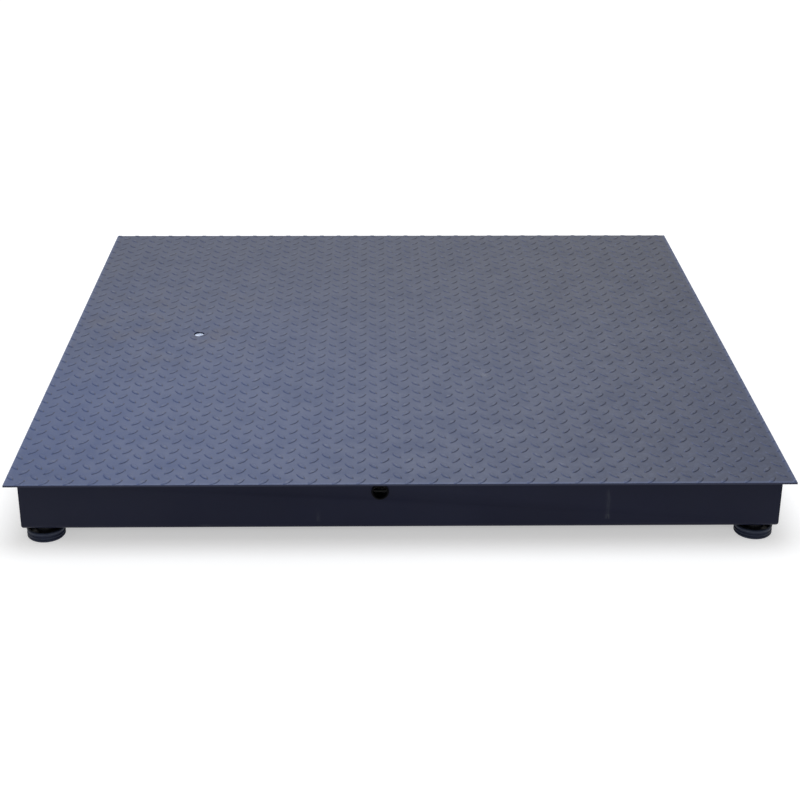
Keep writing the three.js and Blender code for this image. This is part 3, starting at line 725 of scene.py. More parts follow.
def plate_faces(vertices, start):
    """Flat faces between the diamond's four corners and the lug's outline."""
    ring = [start + k for k in range(LUG_POINTS)]
    sides = []
    for a, b in zip(ring, ring[1:] + ring[:1]):
        x = (vertices[a][0] + vertices[b][0]) / 2
        y = (vertices[a][1] + vertices[b][1]) / 2
        corner = max(range(4), key=lambda c: vertices[c][0] * x + vertices[c][1] * y)
        sides.append((a, b, corner))
    faces = []
    for (a, b, corner), following in zip(sides, sides[1:] + sides[:1]):
        faces.append((a, corner, b))
        while corner != following[2]:
            step = (corner + 1) % 4
            faces.append((corner, step, b))
            corner = step
    return faces


def lug_sheet():
    """A flat sheet of diamonds that reaches past the deck on every side."""
    tiles = [lug_tile(180 - LUG_LEAN), lug_tile(LUG_LEAN)]
    half = LUG_PITCH / 2
    reach = int(DECK_HALF / half.y) + 3
    vertices, faces = [], []
    for a in range(-reach, reach + 1):
        for b in range(-reach, reach + 1):
            if (a + b) % 2:
                continue
            points, polygons = tiles[a % 2]
            first = len(vertices)
            x, y = a * half.x + LUG_OFFSET.x, b * half.y + LUG_OFFSET.y
            vertices += [(p[0] + x, p[1] + y, p[2]) for p in points]
            faces += [tuple(first + i for i in polygon) for polygon in polygons]
    return mesh_from(vertices, faces)


def tread_plate():
    """The whole deck: the sheet thickened, cut to size and drilled."""
    bm = bmesh.new()
    sheet = lug_sheet()
    bm.from_mesh(sheet)
    bpy.data.meshes.remove(sheet)
    bmesh.ops.remove_doubles(bm, verts=bm.verts, dist=1e-6)
    rim = [e for e in bm.edges if e.is_boundary]
    wall = bmesh.ops.extrude_edge_only(bm, edges=rim)
    for part in wall["geom"]:
        if isinstance(part, bmesh.types.BMVert):
            part.co.z = PLATE_UNDER - 2 * MM
    low_rim = [e for e in bm.edges if e.is_boundary]
    bmesh.ops.edgeloop_fill(bm, edges=low_rim)
    plate = boolean(from_bmesh(bm), [sheared_outline()], "INTERSECT")
    low, high = PLATE_UNDER - 5 * MM, LUG_TOP + 5 * MM
    return boolean(plate, [round_bar(LEVEL_HOLE, low, high, 64, at(LEVEL.x, LEVEL.y))])


def sheared_outline():
    """The space that the cut deck fills: square, with its top arris broken."""
    rings = []
    for half, z in (
        (DECK_HALF, PLATE_UNDER),
        (DECK_HALF, PLATE_TOP - ARRIS),
        (DECK_HALF - 7 * ARRIS, PLATE_TOP + 6 * ARRIS),
    ):
        rings.append([(-half, -half, z), (half, -half, z), (half, half, z), (-half, half, z)])
    return skin(rings)


def make_deck():
    """The deck, its plate left flat-shaded between the lugs."""
    deck = keep("tread_deck", tread_plate(), "deck_paint", stands_for="deck_plate")
    for face in deck.data.polygons:
        face.use_smooth = abs(face.center.z - PLATE_TOP) > 0.01 * MM


# ---- Frame channels and ribs ----
def channel_outline():
    """(inwards, up) points of the folded C section, from its outer face and bottom."""
    w, h, t, r, s = CHANNEL_WIDTH, CHANNEL_HEIGHT, STEEL, FOLD_OUTER, FOLD_INNER
    return [
        (w, 0),
        *arc(r, r, r, -90, -180),
        *arc(r, h - r, r, 180, 90),
        (w, h), (w, h - t),
        *arc(t + s, h - t - s, s, 90, 180, 4),
        *arc(t + s, t + s, s, 180, 270, 4),
        (w, t),
    ]


def mitred_channel():
    """The front channel: its ends run back along the mitres."""
    ends = []
    for side in (-1, 1):
        ring = []
        for inwards, up in channel_outline():
            x = side * (FRAME_HALF - inwards - GAP / 2)
            ring.append((x, -FRAME_HALF + inwards, CHANNEL_BOTTOM + up))
        ends.append(ring)
    return skin(ends)


def obround(x0, x1, y, radius, low, high):
    """Upright solid with round ends about (x0, y) and (x1, y)."""
    outline = [(x1 + p[0], y + p[1]) for p in arc(0, 0, radius, -90, 90, 14)]
    outline += [(x0 + p[0], y + p[1]) for p in arc(0, 0, radius, 90, 270, 14)]
    return upright(outline, low, high)


def frame_channel(side):
    """One channel: notched over the feet, slotted under the cell bolts and, in front, drilled for cable."""
    low, high = CHANNEL_BOTTOM - 2 * MM, TRAY_TOP + 1 * MM
    inner = FRAME_HALF - FOOT_NOTCH
    near, far = -FRAME_HALF + FOLD_OUTER, -FRAME_HALF + CHANNEL_WIDTH + 2 * MM
    tools = [
        block((-FRAME_HALF - 5 * MM, near, low), (-inner, far, high)),
        block((inner, near, low), (FRAME_HALF + 5 * MM, far, high)),
    ]
    if side in ("front", "rear"):
        for hand in SIDES:
            xs = sorted(middle(f"cell_bolt_{p}_front_{hand}").x for p in ("inner", "outer"))
            tools.append(obround(*xs, -FOOT_AT, 15 * MM, low, high))
    if side == "front":
        drill = round_bar(OUTLET_HOLE, -12 * MM, 12 * MM, 64, TO_FRONT)
        tools.append(moved(drill, at(OUTLET.x, -FRAME_HALF, OUTLET.z)))
    mesh = softened(boolean(mitred_channel(), tools), CUT_EDGE, 2, 50)
    return moved(mesh, turn({"front": 0, "right": 90, "rear": 180, "left": -90}[side]))


def rib_outline(width, height):
    """(across, up) points of the folded U section, its legs up."""
    w, h, t, r, s = width / 2, height, STEEL, FOLD_OUTER, FOLD_INNER
    return [
        (w, h), (w - t, h),
        *arc(w - t - s, t + s, s, 0, -90, 4),
        *arc(-w + t + s, t + s, s, -90, -180, 4),
        (-w + t, h), (-w, h),
        *arc(-w + r, r, r, 180, 270),
        *arc(w - r, r, r, -90, 0),
    ]


def deck_rib(node):
    """One rib, its legs cut down under the channels' flanges where it reaches that far."""
    low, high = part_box(node)
    length = high.y - low.y
    mesh = lengthwise(rib_outline(high.x - low.x, high.z - low.z), length)
    mesh = moved(mesh, at((low.x + high.x) / 2, 0, low.z))
    lip = FRAME_HALF - CHANNEL_WIDTH - GAP
    if high.y > lip:
        x0, x1, under = low.x - 5 * MM, high.x + 5 * MM, FLANGE_UNDER - GAP
        ends = ((-length, -lip), (lip, length))
        mesh = boolean(mesh, [block((x0, y0, under), (x1, y1, PLATE_UNDER + 5 * MM)) for y0, y1 in ends])
    return softened(mesh, CUT_EDGE, 2, 50)


def rib_names():
    return [f"{place}_{hand}" for hand in SIDES for place in ("inner", "middle", "outer")]


def make_frame():
    for side in ("front", "right", "rear", "left"):
        node = "frame_channel_" + side
        keep("channel_" + side, frame_channel(side), "frame_paint", stands_for=node)
    for name in rib_names():
        node = "deck_rib_" + name
        keep("rib_" + name, deck_rib(node), "frame_paint", stands_for=node)


# ---- Weld beads ----
def bead(start, end, radius=2.2 * MM):
    """A straight run of weld."""
    start, end = Vector(start), Vector(end)
    steps = max(4, int((end - start).length / (1.3 * MM)))
    path = [start.lerp(end, i / steps) for i in range(steps + 1)]
    return tube(path, radius, 8, wave=0.12)


def stitches(reach, count, half_length):
    """Starts and ends of evenly spaced stitches between -reach and reach."""
    for k in range(count):
        centre = -reach + 2 * reach * k / (count - 1)
        yield max(-reach, centre - half_length), min(reach, centre + half_length)


def mitre_welds():
    """Beads down the inside of the four frame corners and across their flanges."""
    inside = FRAME_HALF - STEEL - 0.6 * MM
    a, b = FRAME_HALF - 6 * MM, FRAME_HALF - CHANNEL_WIDTH + 1 * MM
    low, high, flange = TRAY_TOP + 4 * MM, FLANGE_UNDER - 3 * MM, FLANGE_UNDER - 0.2 * MM
    beads = []
    for sx in (-1, 1):
        for sy in (-1, 1):
            beads.append(bead((sx * inside, sy * inside, low), (sx * inside, sy * inside, high)))
            beads.append(bead((sx * a, sy * a, flange), (sx * b, sy * b, flange), 1.8 * MM))
    return joined(*beads)


def rib_welds():
    """Stitch welds where the ribs' legs meet the deck, and short ones where they meet the channels."""
    beads = []
    z = PLATE_UNDER - 0.8 * MM
    for name in rib_names():
        low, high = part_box("deck_rib_" + name)
        reach = min(high.y, FRAME_HALF - CHANNEL_WIDTH) - 22 * MM
        for x in (low.x - 0.4 * MM, high.x + 0.4 * MM):
            beads += [bead((x, y0, z), (x, y1, z)) for y0, y1 in stitches(reach, 6, 20 * MM)]
            if high.y > FRAME_HALF - CHANNEL_WIDTH:
                end = FRAME_HALF - STEEL - 1.2 * MM
                for y in (-end, end):
                    beads.append(bead((x, y, low.z + 12 * MM), (x, y, low.z + 44 * MM), 1.9 * MM))
    return joined(*beads)


def skirt_welds():
    """Stitch welds under the deck's overhang, along the top of each channel."""
    beads = []
    out = FRAME_HALF - 0.8 * MM
    z = PLATE_UNDER - 1.4 * MM
    for a, b in stitches(FRAME_HALF - 45 * MM, 7, 25 * MM):
        for edge in (-out, out):
            beads.append(bead((a, edge, z), (b, edge, z), 2.0 * MM))
            beads.append(bead((edge, a, z), (edge, b, z), 2.0 * MM))
    return joined(*beads)


def make_welds():
    keep("mitre_welds", mitre_welds(), "frame_paint", smooth=60)
    keep("rib_welds", rib_welds(), "frame_paint", smooth=60)
    keep("skirt_welds", skirt_welds(), "frame_paint", smooth=60)


# ---- Load cells ----
CELL_GLAND = 10 * MM  # what the cable's gland takes of the CAD cell's length
CABLE_Z = 68 * MM  # where the cable leaves the cell


def inwards(corner):
    """+1 where the middle of the scale is towards +X, as at the left-hand corners."""
    return -1 if FOOT[corner].x > 0 else 1


def pocket_place(corner, side, depth=0):
    """Place of something drawn along +Z in the cell's front (side -1) or rear (side 1) gauge pocket."""
    mid = middle("load_cell_" + corner)
    x = FOOT[corner].x + inwards(corner) * 38 * MM
    return at(x, mid.y + side * depth, mid.z) @ (TO_FRONT if side < 0 else TO_REAR)


def cell_body(corner):
    """Steel beam with a stud hole, two bolt holes and a gauge pocket in each side."""
    low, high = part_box("load_cell_" + corner)
    y = middle("load_cell_" + corner).y
    x0, x1 = low.x, high.x - CELL_GLAND
    if inwards(corner) < 0:
        x0, x1 = low.x + CELL_GLAND, high.x
    beam = softened(block((x0, low.y, low.z), (x1, high.y, high.z)), 1.2 * MM, 3)
    bolts = [middle(f"cell_bolt_{place}_{corner}").x for place in ("inner", "outer")]
    holes = [(6.3 * MM, FOOT[corner].x), (6.5 * MM, bolts[0]), (6.5 * MM, bolts[1])]
    tools = [round_bar(r, low.z - 5 * MM, high.z + 5 * MM, place=at(x, y)) for r, x in holes]
    tools += [round_bar(11 * MM, 4 * MM, 20 * MM, place=pocket_place(corner, side)) for side in (-1, 1)]
    return boolean(beam, tools)


def potting_plug():
    """Sealing compound over the gauges in a pocket, dished at its middle."""
    return revolve([(0, 0), mm(10.9, 0), mm(10.9, 8.5), mm(8, 7.6), mm(0, 7.2)])


def cell_gland(corner):
    """Nut and spring collar where the cable leaves the cell's end."""
    hand = inwards(corner)
    low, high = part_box("load_cell_" + corner)
    end = (high.x if hand > 0 else low.x) - hand * CELL_GLAND
    nut = hexagon(12 * MM, 0, 6 * MM, ends="top")
    collar = revolve([mm(0, 5.5), mm(4.6, 5.5), mm(4.6, 8.4), mm(3.9, 9.7), mm(0, 9.7)])
    return moved(joined(nut, collar), at(end, FOOT[corner].y, CABLE_Z) @ (TO_RIGHT if hand > 0 else TO_LEFT))


def cell_bolt(low, high):
    """Hex bolt from below, its head dished."""
    head = hexagon(18 * MM, low, low + 7.5 * MM, ends="bottom")
    dimple = round_bar(5 * MM, low - 1 * MM, low + 0.5 * MM)
    return joined(boolean(head, [dimple]), round_bar(5.9 * MM, low + 7 * MM, high - 1 * MM))


def washer(outer, inner, low, high):
    c = 0.25 * MM
    outside = [(outer - c, low), (outer, low + c), (outer, high - c), (outer - c, high)]
    return revolve([(inner, low), *outside, (inner, high)], closed=True)


def make_cell_bolts(corner):
    for place in ("inner", "outer"):
        bolt = f"cell_bolt_{place}_{corner}"
        low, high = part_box(bolt)
        there = at(middle(bolt).x, middle(bolt).y)
        keep("hex_" + bolt, moved(cell_bolt(low.z, high.z), there), "zinc", stands_for=bolt)
        seat = low.z + 7.5 * MM
        ring = washer(12 * MM, 6.3 * MM, seat + 0.05 * MM, seat + 2.4 * MM)
        keep("washer_" + bolt, moved(ring, there), "zinc")


def make_load_cells():
    for corner in CORNERS:
        keep("cell_" + corner, cell_body(corner), "cell_nickel", stands_for="load_cell_" + corner)
        for name, side in (("front", -1), ("rear", 1)):
            plug = moved(potting_plug(), pocket_place(corner, side, 4.2 * MM))
            keep(f"potting_{name}_{corner}", plug, "potting")
        keep("cell_gland_" + corner, cell_gland(corner), "zinc")
        node = "cell_mount_block_" + corner
        mount = softened(block(*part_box(node)), 0.8 * MM)
        keep("mount_block_" + corner, mount, "frame_paint", stands_for=node)
        make_cell_bolts(corner)


# ---- Levelling feet ----
BALL_Z = 15.5 * MM
HUB_TOP = 20 * MM


def foot_stud():
    """Threaded stud with spanner flats, necked down to a ball."""
    ball, neck = 6.5 * MM, 4 * MM
    angle = math.degrees(math.acos(neck / ball))
    spindle = revolve([*arc(0, BALL_Z, ball, -90, angle, 16), mm(4, 23), mm(5, 24.2), mm(0, 24.2)], 40)
    flats = hexagon(17 * MM, 24 * MM, 31 * MM)
    return joined(spindle, flats, thread(6 * MM, 1.75 * MM, 30.5 * MM, 99 * MM))


def lock_nut():
    return boolean(hexagon(19 * MM, 49 * MM, 58.95 * MM), [round_bar(6.3 * MM, 40 * MM, 70 * MM)])


def ball_seat():
    """Plastic cup between the ball and the hub."""
    rim = HUB_TOP - BALL_Z - 0.6 * MM
    outer, inner = 8.3 * MM, 6.8 * MM
    up_outer, up_inner = (math.degrees(math.asin(rim / radius)) for radius in (outer, inner))
    cup = [*arc(0, BALL_Z, outer, -90, up_outer, 12), *arc(0, BALL_Z, inner, up_inner, -90, 12)]
    return revolve(cup, 40)


def pad_base():
    """Steel disc with a raised rim, a dish and a hub crimped over the ball."""
    socket = 8.7 * MM
    mouth = math.degrees(math.asin((HUB_TOP - BALL_Z) / socket))
    low, radius = 5.3 * MM, 25.4 * MM
    profile = [
        (0, low), (radius, low), (radius, low + 4.4 * MM),
        *arc(radius - 1.2 * MM, low + 4.4 * MM, 1.2 * MM, 0, 180, 6),
        (radius - 3 * MM, low + 3.6 * MM), (18 * MM, low + 3.9 * MM), (15.5 * MM, low + 5.6 * MM),
        (14.4 * MM, HUB_TOP - 2 * MM),
        *arc(12.6 * MM, HUB_TOP - 1.8 * MM, 1.8 * MM, 0, 90, 5),
        (11 * MM, HUB_TOP),
        *arc(0, BALL_Z, socket, mouth, -90, 12),
    ]
    return revolve(profile, 56)


def pad_sole():
    """Rubber cup: rings moulded in its underside and round its side, and a beaded lip over the base."""
    radius, lip, cup = 29.5 * MM, 15.5 * MM, 25.9 * MM
    tread = []
    for r in (9, 14, 19, 24):
        tread += [mm(r - 1.6, 0), mm(r - 1.2, 0.9), mm(r + 1.2, 0.9), mm(r + 1.6, 0)]
    side = []
    for z in (2.4, 6.8):
        side += [(radius - 1.5 * MM, (z - 2) * MM), *arc(radius - 1.6 * MM, z * MM, 1.6 * MM, -60, 60, 5)]
    profile = [
        (0, 0), *tread, (radius - 1.6 * MM, 0), *side, (radius - 1.5 * MM, 9 * MM),
        *arc(radius - 2.2 * MM, lip - 2.2 * MM, 2.2 * MM, -60, 90, 10),
        *arc(cup + 0.7 * MM, lip - 0.7 * MM, 0.7 * MM, 90, 180, 4),
        (cup, 5 * MM), (0, 5 * MM),
    ]
    return revolve(profile, 72)


FOOT_PIECES = (  # name, shape, look, what it moves with and the node it stands for
    ("levelling_stud_", foot_stud, "zinc", "stud_", "foot_stud_"),
    ("jam_nut_", lock_nut, "zinc", None, "lock_nut_"),
    ("nylon_seat_", ball_seat, "nylon", "foot_", "ball_seat_"),
    ("foot_base_", pad_base, "pad_steel", "pad_", "pad_base_"),
    ("foot_sole_", pad_sole, "rubber", "pad_", "pad_sole_"),
)


def make_feet():
    for corner in CORNERS:
        there = at(FOOT[corner].x, FOOT[corner].y)
        for name, shape, look, mover, node in FOOT_PIECES:
            body = mover + corner if mover else "platform"
            keep(name + corner, moved(shape(), there), look, body, stands_for=node + corner)


# ---- Junction box ----
BOX_LOW, BOX_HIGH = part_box("junction_box_lid")
BOX_FRONT, BOX_REAR, BOX_HALF = BOX_LOW.y, BOX_HIGH.y, BOX_HIGH.x
BOX_BOTTOM = 68 * MM
BOX_TOP = PLATE_UNDER - GAP
INPUT_Z = 84 * MM
SIDE_INPUT_Y = -490 * MM
REAR_INPUT_X = 22 * MM
OUTPUT_PLACE = at(OUTLET.x, BOX_FRONT, OUTLET.z) @ TO_FRONT
INPUT_PLACES = {
    "front_left": at(-BOX_HALF, SIDE_INPUT_Y, INPUT_Z) @ TO_LEFT,
    "front_right": at(BOX_HALF, SIDE_INPUT_Y, INPUT_Z) @ TO_RIGHT,
    "rear_left": at(-REAR_INPUT_X, BOX_REAR, INPUT_Z) @ TO_REAR,
    "rear_right": at(REAR_INPUT_X, BOX_REAR, INPUT_Z) @ TO_REAR,
}
SCREW_IN = 7 * MM
SCREW_ROWS = (BOX_FRONT + SCREW_IN, BOX_REAR - SCREW_IN)
SCREW_PLACES = [at(x, y) for x in (SCREW_IN - BOX_HALF, BOX_HALF - SCREW_IN) for y in SCREW_ROWS]


def rounded_slab(inset, radius, low, high):
    """Slab that fills the box's plan less inset, its upright edges rounded."""
    x, y0, y1 = BOX_HALF - inset, BOX_FRONT + inset, BOX_REAR - inset
    outline = [
        *arc(x - radius, y0 + radius, radius, -90, 0, 5),
        *arc(x - radius, y1 - radius, radius, 0, 90, 5),
        *arc(-x + radius, y1 - radius, radius, 90, 180, 5),
        *arc(-x + radius, y0 + radius, radius, 180, 270, 5),
    ]
    return upright(outline, low, high)


def junction_body():
    """Box with its open side down, drilled for its five glands."""
    shell = softened(rounded_slab(0, 6 * MM, BOX_BOTTOM, BOX_TOP), 1 * MM, 2, 60)
    tools = [rounded_slab(3 * MM, 4 * MM, BOX_BOTTOM - 5 * MM, BOX_TOP - 3 * MM)]
    tools += [round_bar(6 * MM, -8 * MM, 8 * MM, place=place) for place in INPUT_PLACES.values()]
    return boolean(shell, [*tools, round_bar(8.2 * MM, -8 * MM, 8 * MM, place=OUTPUT_PLACE)])


def box_gland(bore, thread_radius, flats, length):
    """Cable gland along +Z from a wall at 0: hex body, domed nut with grip ribs and an open throat."""
    outer = flats / 2 * 0.94
    grip = []
    for k in range(48):
        a = 2 * math.pi * k / 48
        r = outer if k % 4 < 2 else outer - 0.5 * MM
        grip.append((r * math.cos(a), r * math.sin(a)))
    neck = length - 4.2 * MM
    cone = [(outer - 0.6 * MM, neck), (outer - 1.6 * MM, length - 2 * MM), (bore + 1.3 * MM, length)]
    parts = (
        hexagon(flats, 0.1 * MM, 5 * MM),
        round_bar(thread_radius, -6 * MM, 1 * MM),
        upright(grip, 5 * MM, length - 4 * MM),
        revolve([(0, neck), *cone, (0, length)]),
    )
    return joined(*(boolean(part, [round_bar(bore, -20 * MM, length + 5 * MM)]) for part in parts))


def pan_screw(radius, height):
    """Pan head with a cross recess, its top towards +Z."""
    edge = [(radius, 0), (radius, height * 0.45), (radius * 0.8, height * 0.85)]
    head = revolve([(0, 0), *edge, (0, height)], 32)
    long, short = radius * 0.55, 0.28 * radius * 0.55
    arms = ((long, short), (short, long))
    return boolean(head, [block((-x, -y, height * 0.45), (x, y, height * 2)) for x, y in arms])


def junction_lid():
    """Lid with counterbored screw holes and a shallow groove inside its edge."""
    low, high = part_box("junction_box_lid")
    lid = softened(rounded_slab(0, 6 * MM, low.z, high.z), 0.9 * MM, 2, 60)
    tools = [round_bar(3.6 * MM, low.z - 5 * MM, low.z + 2.4 * MM, place=place) for place in SCREW_PLACES]
    groove = boolean(
        rounded_slab(11 * MM, 4 * MM, low.z - 5 * MM, low.z + 0.6 * MM),
        [rounded_slab(12 * MM, 3.5 * MM, low.z - 6 * MM, low.z + 2 * MM)],
    )
    return boolean(lid, [*tools, groove])


def lid_screws():
    seat = at(0, 0, BOX_LOW.z + 2.4 * MM) @ turn(180, "X")
    return joined(*(moved(pan_screw(*mm(3.1, 2.2)), place @ seat) for place in SCREW_PLACES))


def hanging(x, y, half_width, half_depth, drop):
    """Soft-edged block that hangs from the junction board."""
    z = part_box("junction_board")[0].z
    low = (x - half_width, y - half_depth, z - drop)
    return softened(block(low, (x + half_width, y + half_depth, z)), 0.5 * MM)


def board_parts():
    """Four trim pots, each with a row of resistors, on the board's underside."""
    parts = []
    for x in (-27 * MM, -9 * MM, 9 * MM, 27 * MM):
        parts.append(hanging(x, -486.5 * MM, *mm(3.5, 3.5, 5)))
        parts += [hanging(x, y * MM, *mm(3.2, 1.1, 2)) for y in (-478, -473, -468)]
    return joined(*parts)


def terminal_strip():
    """Twelve terminals, each with a screw well below and a wire slot behind."""
    low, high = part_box("terminal_block")
    count = 12
    tools = []
    for k in range(count):
        x = low.x + (high.x - low.x) * (k + 0.5) / count
        well = at(x, (low.y + high.y) / 2)
        tools.append(round_bar(1.7 * MM, low.z - 3 * MM, low.z + 3 * MM, 20, well))
        slot_low = (x - 1.6 * MM, high.y - 3 * MM, low.z + 3 * MM)
        tools.append(block(slot_low, (x + 1.6 * MM, high.y + 3 * MM, low.z + 7 * MM)))
    return boolean(softened(block(low, high), 0.6 * MM), tools)


def box_seal():
    low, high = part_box("junction_box_gasket")
    inside = rounded_slab(4 * MM, 4 * MM, low.z - 1 * MM, high.z + 1 * MM)
    return boolean(rounded_slab(0.3 * MM, 6 * MM, low.z, high.z), [inside])


def make_junction_box():
    keep("junction_housing", junction_body(), "box_plastic", stands_for="junction_box_body")
    keep("junction_lid", junction_lid(), "box_plastic", stands_for="junction_box_lid")
    keep("junction_lid_screws", lid_screws(), "zinc")
    keep("junction_seal", box_seal(), "rubber", stands_for="junction_box_gasket")
    board = softened(block(*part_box("junction_board")), 0.3 * MM, 1)
    keep("summing_board", board, "board", stands_for="junction_board")
    keep("board_parts", board_parts(), "gland_plastic")
    keep("terminal_strip", terminal_strip(), "terminal_plastic", stands_for="terminal_block")
    for corner, place in INPUT_PLACES.items():
        keep("input_gland_" + corner, moved(box_gland(*mm(3.0, 5.9, 15, 12)), place), "gland_plastic")
    gland = moved(box_gland(*mm(3.5, 7.9, 21, 22)), OUTPUT_PLACE)
    keep("outlet_gland", gland, "gland_plastic", stands_for="output_gland")


# ---- Outlet grommet and level ----
def grommet():
    """Rubber ring round the edge of the hole, outside face towards +Z."""
    bore, flange, neck = 10.5 * MM, 13.2 * MM, OUTLET_HOLE - 0.1 * MM
    inside, outside = -STEEL - 3 * MM, 2.2 * MM
    loop = [
        (bore, inside + 0.9 * MM), (bore + 0.9 * MM, inside), (flange - 0.6 * MM, inside),
        (flange, inside + 0.8 * MM), (neck, -STEEL - 0.1 * MM), (neck, 0.1 * MM), (flange, 0.1 * MM),
        *arc(flange - 1.2 * MM, outside - 1.2 * MM, 1.2 * MM, 0, 90, 5),
        *arc(bore + 1.0 * MM, outside - 1.0 * MM, 1.0 * MM, 90, 180, 5),
    ]
    return moved(revolve(loop, 64, closed=True), at(OUTLET.x, -FRAME_HALF, OUTLET.z) @ TO_FRONT)


VIAL_LOW, VIAL_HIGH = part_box("level_vial")
VIAL_RADIUS = (VIAL_HIGH.x - VIAL_LOW.x) / 2
LEVEL_PLACE = at(LEVEL.x, LEVEL.y)


def vial_shell():
    """Clear body with rounded shoulders and a domed top."""
    shoulder, rounding, dome = VIAL_HIGH.z - 2 * MM, 1.2 * MM, 35.5 * MM
    profile = [
        (0, VIAL_LOW.z), (VIAL_RADIUS, VIAL_LOW.z), (VIAL_RADIUS, shoulder),
        *arc(VIAL_RADIUS - rounding, shoulder, rounding, 0, 60, 4),
        *arc(0, VIAL_HIGH.z - dome, dome, 77, 90, 8),
    ]
    return moved(revolve(profile, 56), LEVEL_PLACE)


def vial_bubble():
    """Flat bubble against the dome, a little off its middle."""
    place = at(LEVEL.x + 1.4 * MM, LEVEL.y - 0.8 * MM, VIAL_HIGH.z - 0.12 * MM)
    return moved(revolve(arc(0, 0, 2.6 * MM, -90, 90, 12), 32), place @ Matrix.Diagonal((1, 1, 0.1, 1)))


def vial_circle():
    """The circle printed on the dome."""
    loop = [mm(4, -0.45), mm(4.45, -0.45), mm(4.45, -0.19), mm(4, -0.19)]
    return moved(revolve(loop, 56, closed=True), at(LEVEL.x, LEVEL.y, VIAL_HIGH.z))


def vial_holder():
    """Flanged cup, bonded under the deck, that holds the vial."""
    top, floor, pocket = PLATE_UNDER - GAP, VIAL_LOW.z - GAP, VIAL_RADIUS + GAP
    profile = [
        (0, floor - 3 * MM), (11.5 * MM, floor - 3 * MM), (13 * MM, floor - 1.6 * MM),
        (13 * MM, top - 2 * MM), (16.4 * MM, top - 2 * MM), (17 * MM, top - 1.4 * MM),
        (17 * MM, top), (pocket, top), (pocket, floor), (0, floor),
    ]
    return moved(revolve(profile, 56), LEVEL_PLACE)


def make_level():
    keep("vial_shell", vial_shell(), "level_glass", stands_for="level_vial")
    keep("vial_bubble", vial_bubble(), "level_glass")
    keep("vial_circle", vial_circle(), "gland_plastic")
    keep("vial_holder", vial_holder(), "level_plastic", stands_for="level_holder")


# ---- Load-cell cables ----
CABLE_RADIUS = 2.75 * MM
TRAY_Z = TRAY_TOP + CABLE_RADIUS + 0.5 * MM
TRAY_Y = 557 * MM
CABLE_START = 423.9 * MM
DECK_CABLE_Z = PLATE_UNDER - 6 * MM
CLIP_ROWS = (0.34, 0.12, -0.1, -0.3)


def tray_run(side, end):
    """From the cell down into the front (end -1) or rear (end 1) channel and along it."""
    return [
        (side * CABLE_START, end * FOOT_AT, CABLE_Z),
        (side * (CABLE_START - 10 * MM), end * FOOT_AT, CABLE_Z),
        (side * (CABLE_START - 34 * MM), end * (FOOT_AT + 3 * MM), 46 * MM),
        (side * (CABLE_START - 58 * MM), end * TRAY_Y, TRAY_Z + 1 * MM),
        (side * (CABLE_START - 85 * MM), end * TRAY_Y, TRAY_Z),
        (side * 260 * MM, end * TRAY_Y, TRAY_Z),
    ]


def front_route(side):
    """Along the front channel, then up to the side of the junction box."""
    return [
        *tray_run(side, -1),
        (side * 130 * MM, -TRAY_Y, TRAY_Z),
        (side * 98 * MM, -TRAY_Y + 3 * MM, TRAY_Z),
        (side * 82 * MM, -TRAY_Y + 18 * MM, TRAY_Z + 0.5 * MM),
        (side * 79 * MM, -TRAY_Y + 38 * MM, TRAY_Z + 3 * MM),
        (side * 80 * MM, SIDE_INPUT_Y - 6 * MM, 46 * MM),
        (side * 81 * MM, SIDE_INPUT_Y, 64 * MM),
        (side * 76 * MM, SIDE_INPUT_Y, INPUT_Z - 5 * MM),
        (side * 62 * MM, SIDE_INPUT_Y, INPUT_Z),
        (side * 42 * MM, SIDE_INPUT_Y, INPUT_Z),
    ]


def rear_route(side):
    """Along the rear channel, then forwards under the deck to the rear of the junction box."""
    x = side * REAR_INPUT_X
    gland = BOX_REAR + 12 * MM
    return [
        *tray_run(side, 1),
        (side * 90 * MM, TRAY_Y, TRAY_Z),
        (side * 58 * MM, TRAY_Y - 4 * MM, TRAY_Z + 1 * MM),
        (side * 34 * MM, TRAY_Y - 30 * MM, TRAY_Z + 14 * MM),
        (side * 24 * MM, TRAY_Y - 70 * MM, 74 * MM),
        (x, TRAY_Y - 120 * MM, DECK_CABLE_Z - 2 * MM),
        (x, TRAY_Y - 180 * MM, DECK_CABLE_Z),
        (x, 0, DECK_CABLE_Z),
        (x, gland + 110 * MM, DECK_CABLE_Z),
        (x, gland + 60 * MM, DECK_CABLE_Z - 3 * MM),
        (x, gland + 20 * MM, INPUT_Z + 1 * MM),
        (x, gland, INPUT_Z),
        (x, BOX_REAR - 8 * MM, INPUT_Z),
    ]


def deck_clip(x, y):
    """Bonded saddle that holds a cable up to the deck's underside."""
    low = (x - 9 * MM, y - 6 * MM, PLATE_UNDER - 2 * MM)
    foot = softened(block(low, (x + 9 * MM, y + 6 * MM, PLATE_UNDER - 0.1 * MM)), 0.6 * MM)
    loop = [
        *arc(0, DECK_CABLE_Z, CABLE_RADIUS + 1.6 * MM, -200, 20, 14),
        *arc(0, DECK_CABLE_Z, CABLE_RADIUS + 0.2 * MM, 20, -200, 14),
    ]
    return joined(foot, moved(lengthwise(loop, 6 * MM), at(x, y)))


def make_cables():
    for end, route in (("front", front_route), ("rear", rear_route)):
        for hand, side in (("left", -1), ("right", 1)):
            lead = tube(smooth_path(route(side)), CABLE_RADIUS, 14)
            keep(f"lead_{end}_{hand}", lead, "cable_sheath", stands_for=f"cell_cable_{end}_{hand}")
    clips = [deck_clip(x, y) for x in (-REAR_INPUT_X, REAR_INPUT_X) for y in CLIP_ROWS]
    keep("cable_clips", joined(*clips), "nylon")


# ---- Stage and light ----
FLOOR_REACH = 60  # so far that its edge never shows


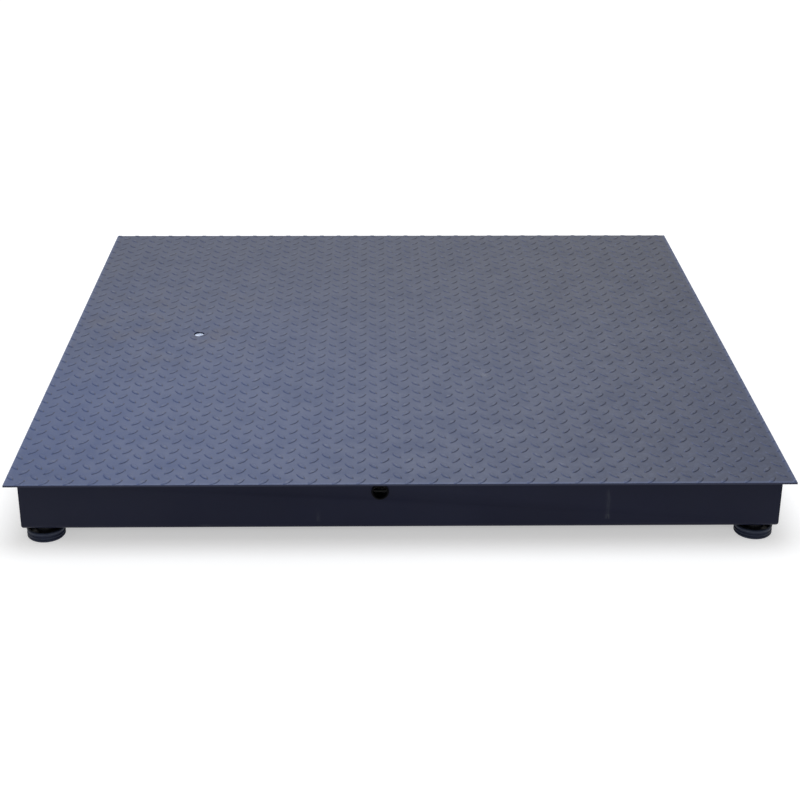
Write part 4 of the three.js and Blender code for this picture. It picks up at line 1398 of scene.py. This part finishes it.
def floor_white():
    """White paper, lit a little from below so that shadows on it stay pale, and darkened inside the frame as
    a painted shadow under the scale.
    """
    n = Nodes("floor_white")
    base = n.mix(n.patches(0.6, 3, 0.3, 0.7), (0.66, 0.66, 0.66), (0.68, 0.68, 0.68))
    out = n.math("MAXIMUM", n.math("ABSOLUTE", n.axis("X")), n.math("ABSOLUTE", n.axis("Y")))
    inside = n.fade(out, FRAME_HALF - 130 * MM, FRAME_HALF - 30 * MM)
    # painted shadow: the floor turns dark under the scale, where it also stops glowing
    base = n.tint(base, (0.05, 0.05, 0.05), inside)
    glow = n.times(n.math("SUBTRACT", 1.0, inside), n.ramp(out, 1.5, 6.0, 0.5, 0.8))
    return n.finish(base, 0.9, Specular_IOR_Level=0.1, Emission_Color=(1, 1, 1), Emission_Strength=glow)


def make_floor():
    r = FLOOR_REACH
    mesh = mesh_from([(-r, -r, 0), (r, -r, 0), (r, r, 0), (-r, r, 0)], [(0, 1, 2, 3)])
    mesh.materials.append(floor_white())
    placed("floor", mesh)


def area_light(name, place, size, watts, color, glossy=True):
    """Soft rectangular light aimed at the middle of the deck."""
    data = bpy.data.lights.new(name, "AREA")
    data.shape = "RECTANGLE"
    data.size, data.size_y = size
    data.energy = watts
    data.color = color
    lamp = placed(name, data)
    lamp.location = place
    aim = Vector((0, 0, PLATE_TOP)) - Vector(place)
    lamp.rotation_euler = aim.to_track_quat("-Z", "Y").to_euler()
    lamp.visible_glossy = glossy


def make_world():
    """Studio walls that are bright at eye level and dimmer overhead."""
    world = bpy.data.worlds.new("studio")
    world.use_nodes = True
    tree = world.node_tree
    height = add_node(tree, "SeparateXYZ", "Z", {0: add_node(tree, "TexCoord", "Generated")})
    limits = {"Value": height, "From Min": 0.1, "From Max": 0.8, "To Min": 0.5, "To Max": 0.35}
    walls = tree.nodes["Background"].inputs
    feed(tree, add_node(tree, "MapRange", "Result", limits), walls["Strength"])
    feed(tree, (1.0, 0.98, 0.96), walls["Color"])
    bpy.context.scene.world = world


def make_light():
    make_world()
    area_light("overhead", (0.1, -0.3, 3.2), (2.4, 2.0), 62, (0.93, 0.96, 1.0), glossy=False)
    area_light("tall_window", (-0.05, 2.9, 2.9), (2.9, 3.0), 36, (0.96, 0.97, 1.0))
    view = bpy.context.scene.view_settings
    view.view_transform = "Standard"
    view.look = "None"


make_camera()
LOOKS = make_materials()
make_deck()
make_frame()
make_welds()
make_load_cells()
make_feet()
make_junction_box()
keep("outlet_grommet", grommet(), "hole_shade_rubber", stands_for="cable_grommet")
make_level()
make_cables()
make_floor()
make_light()
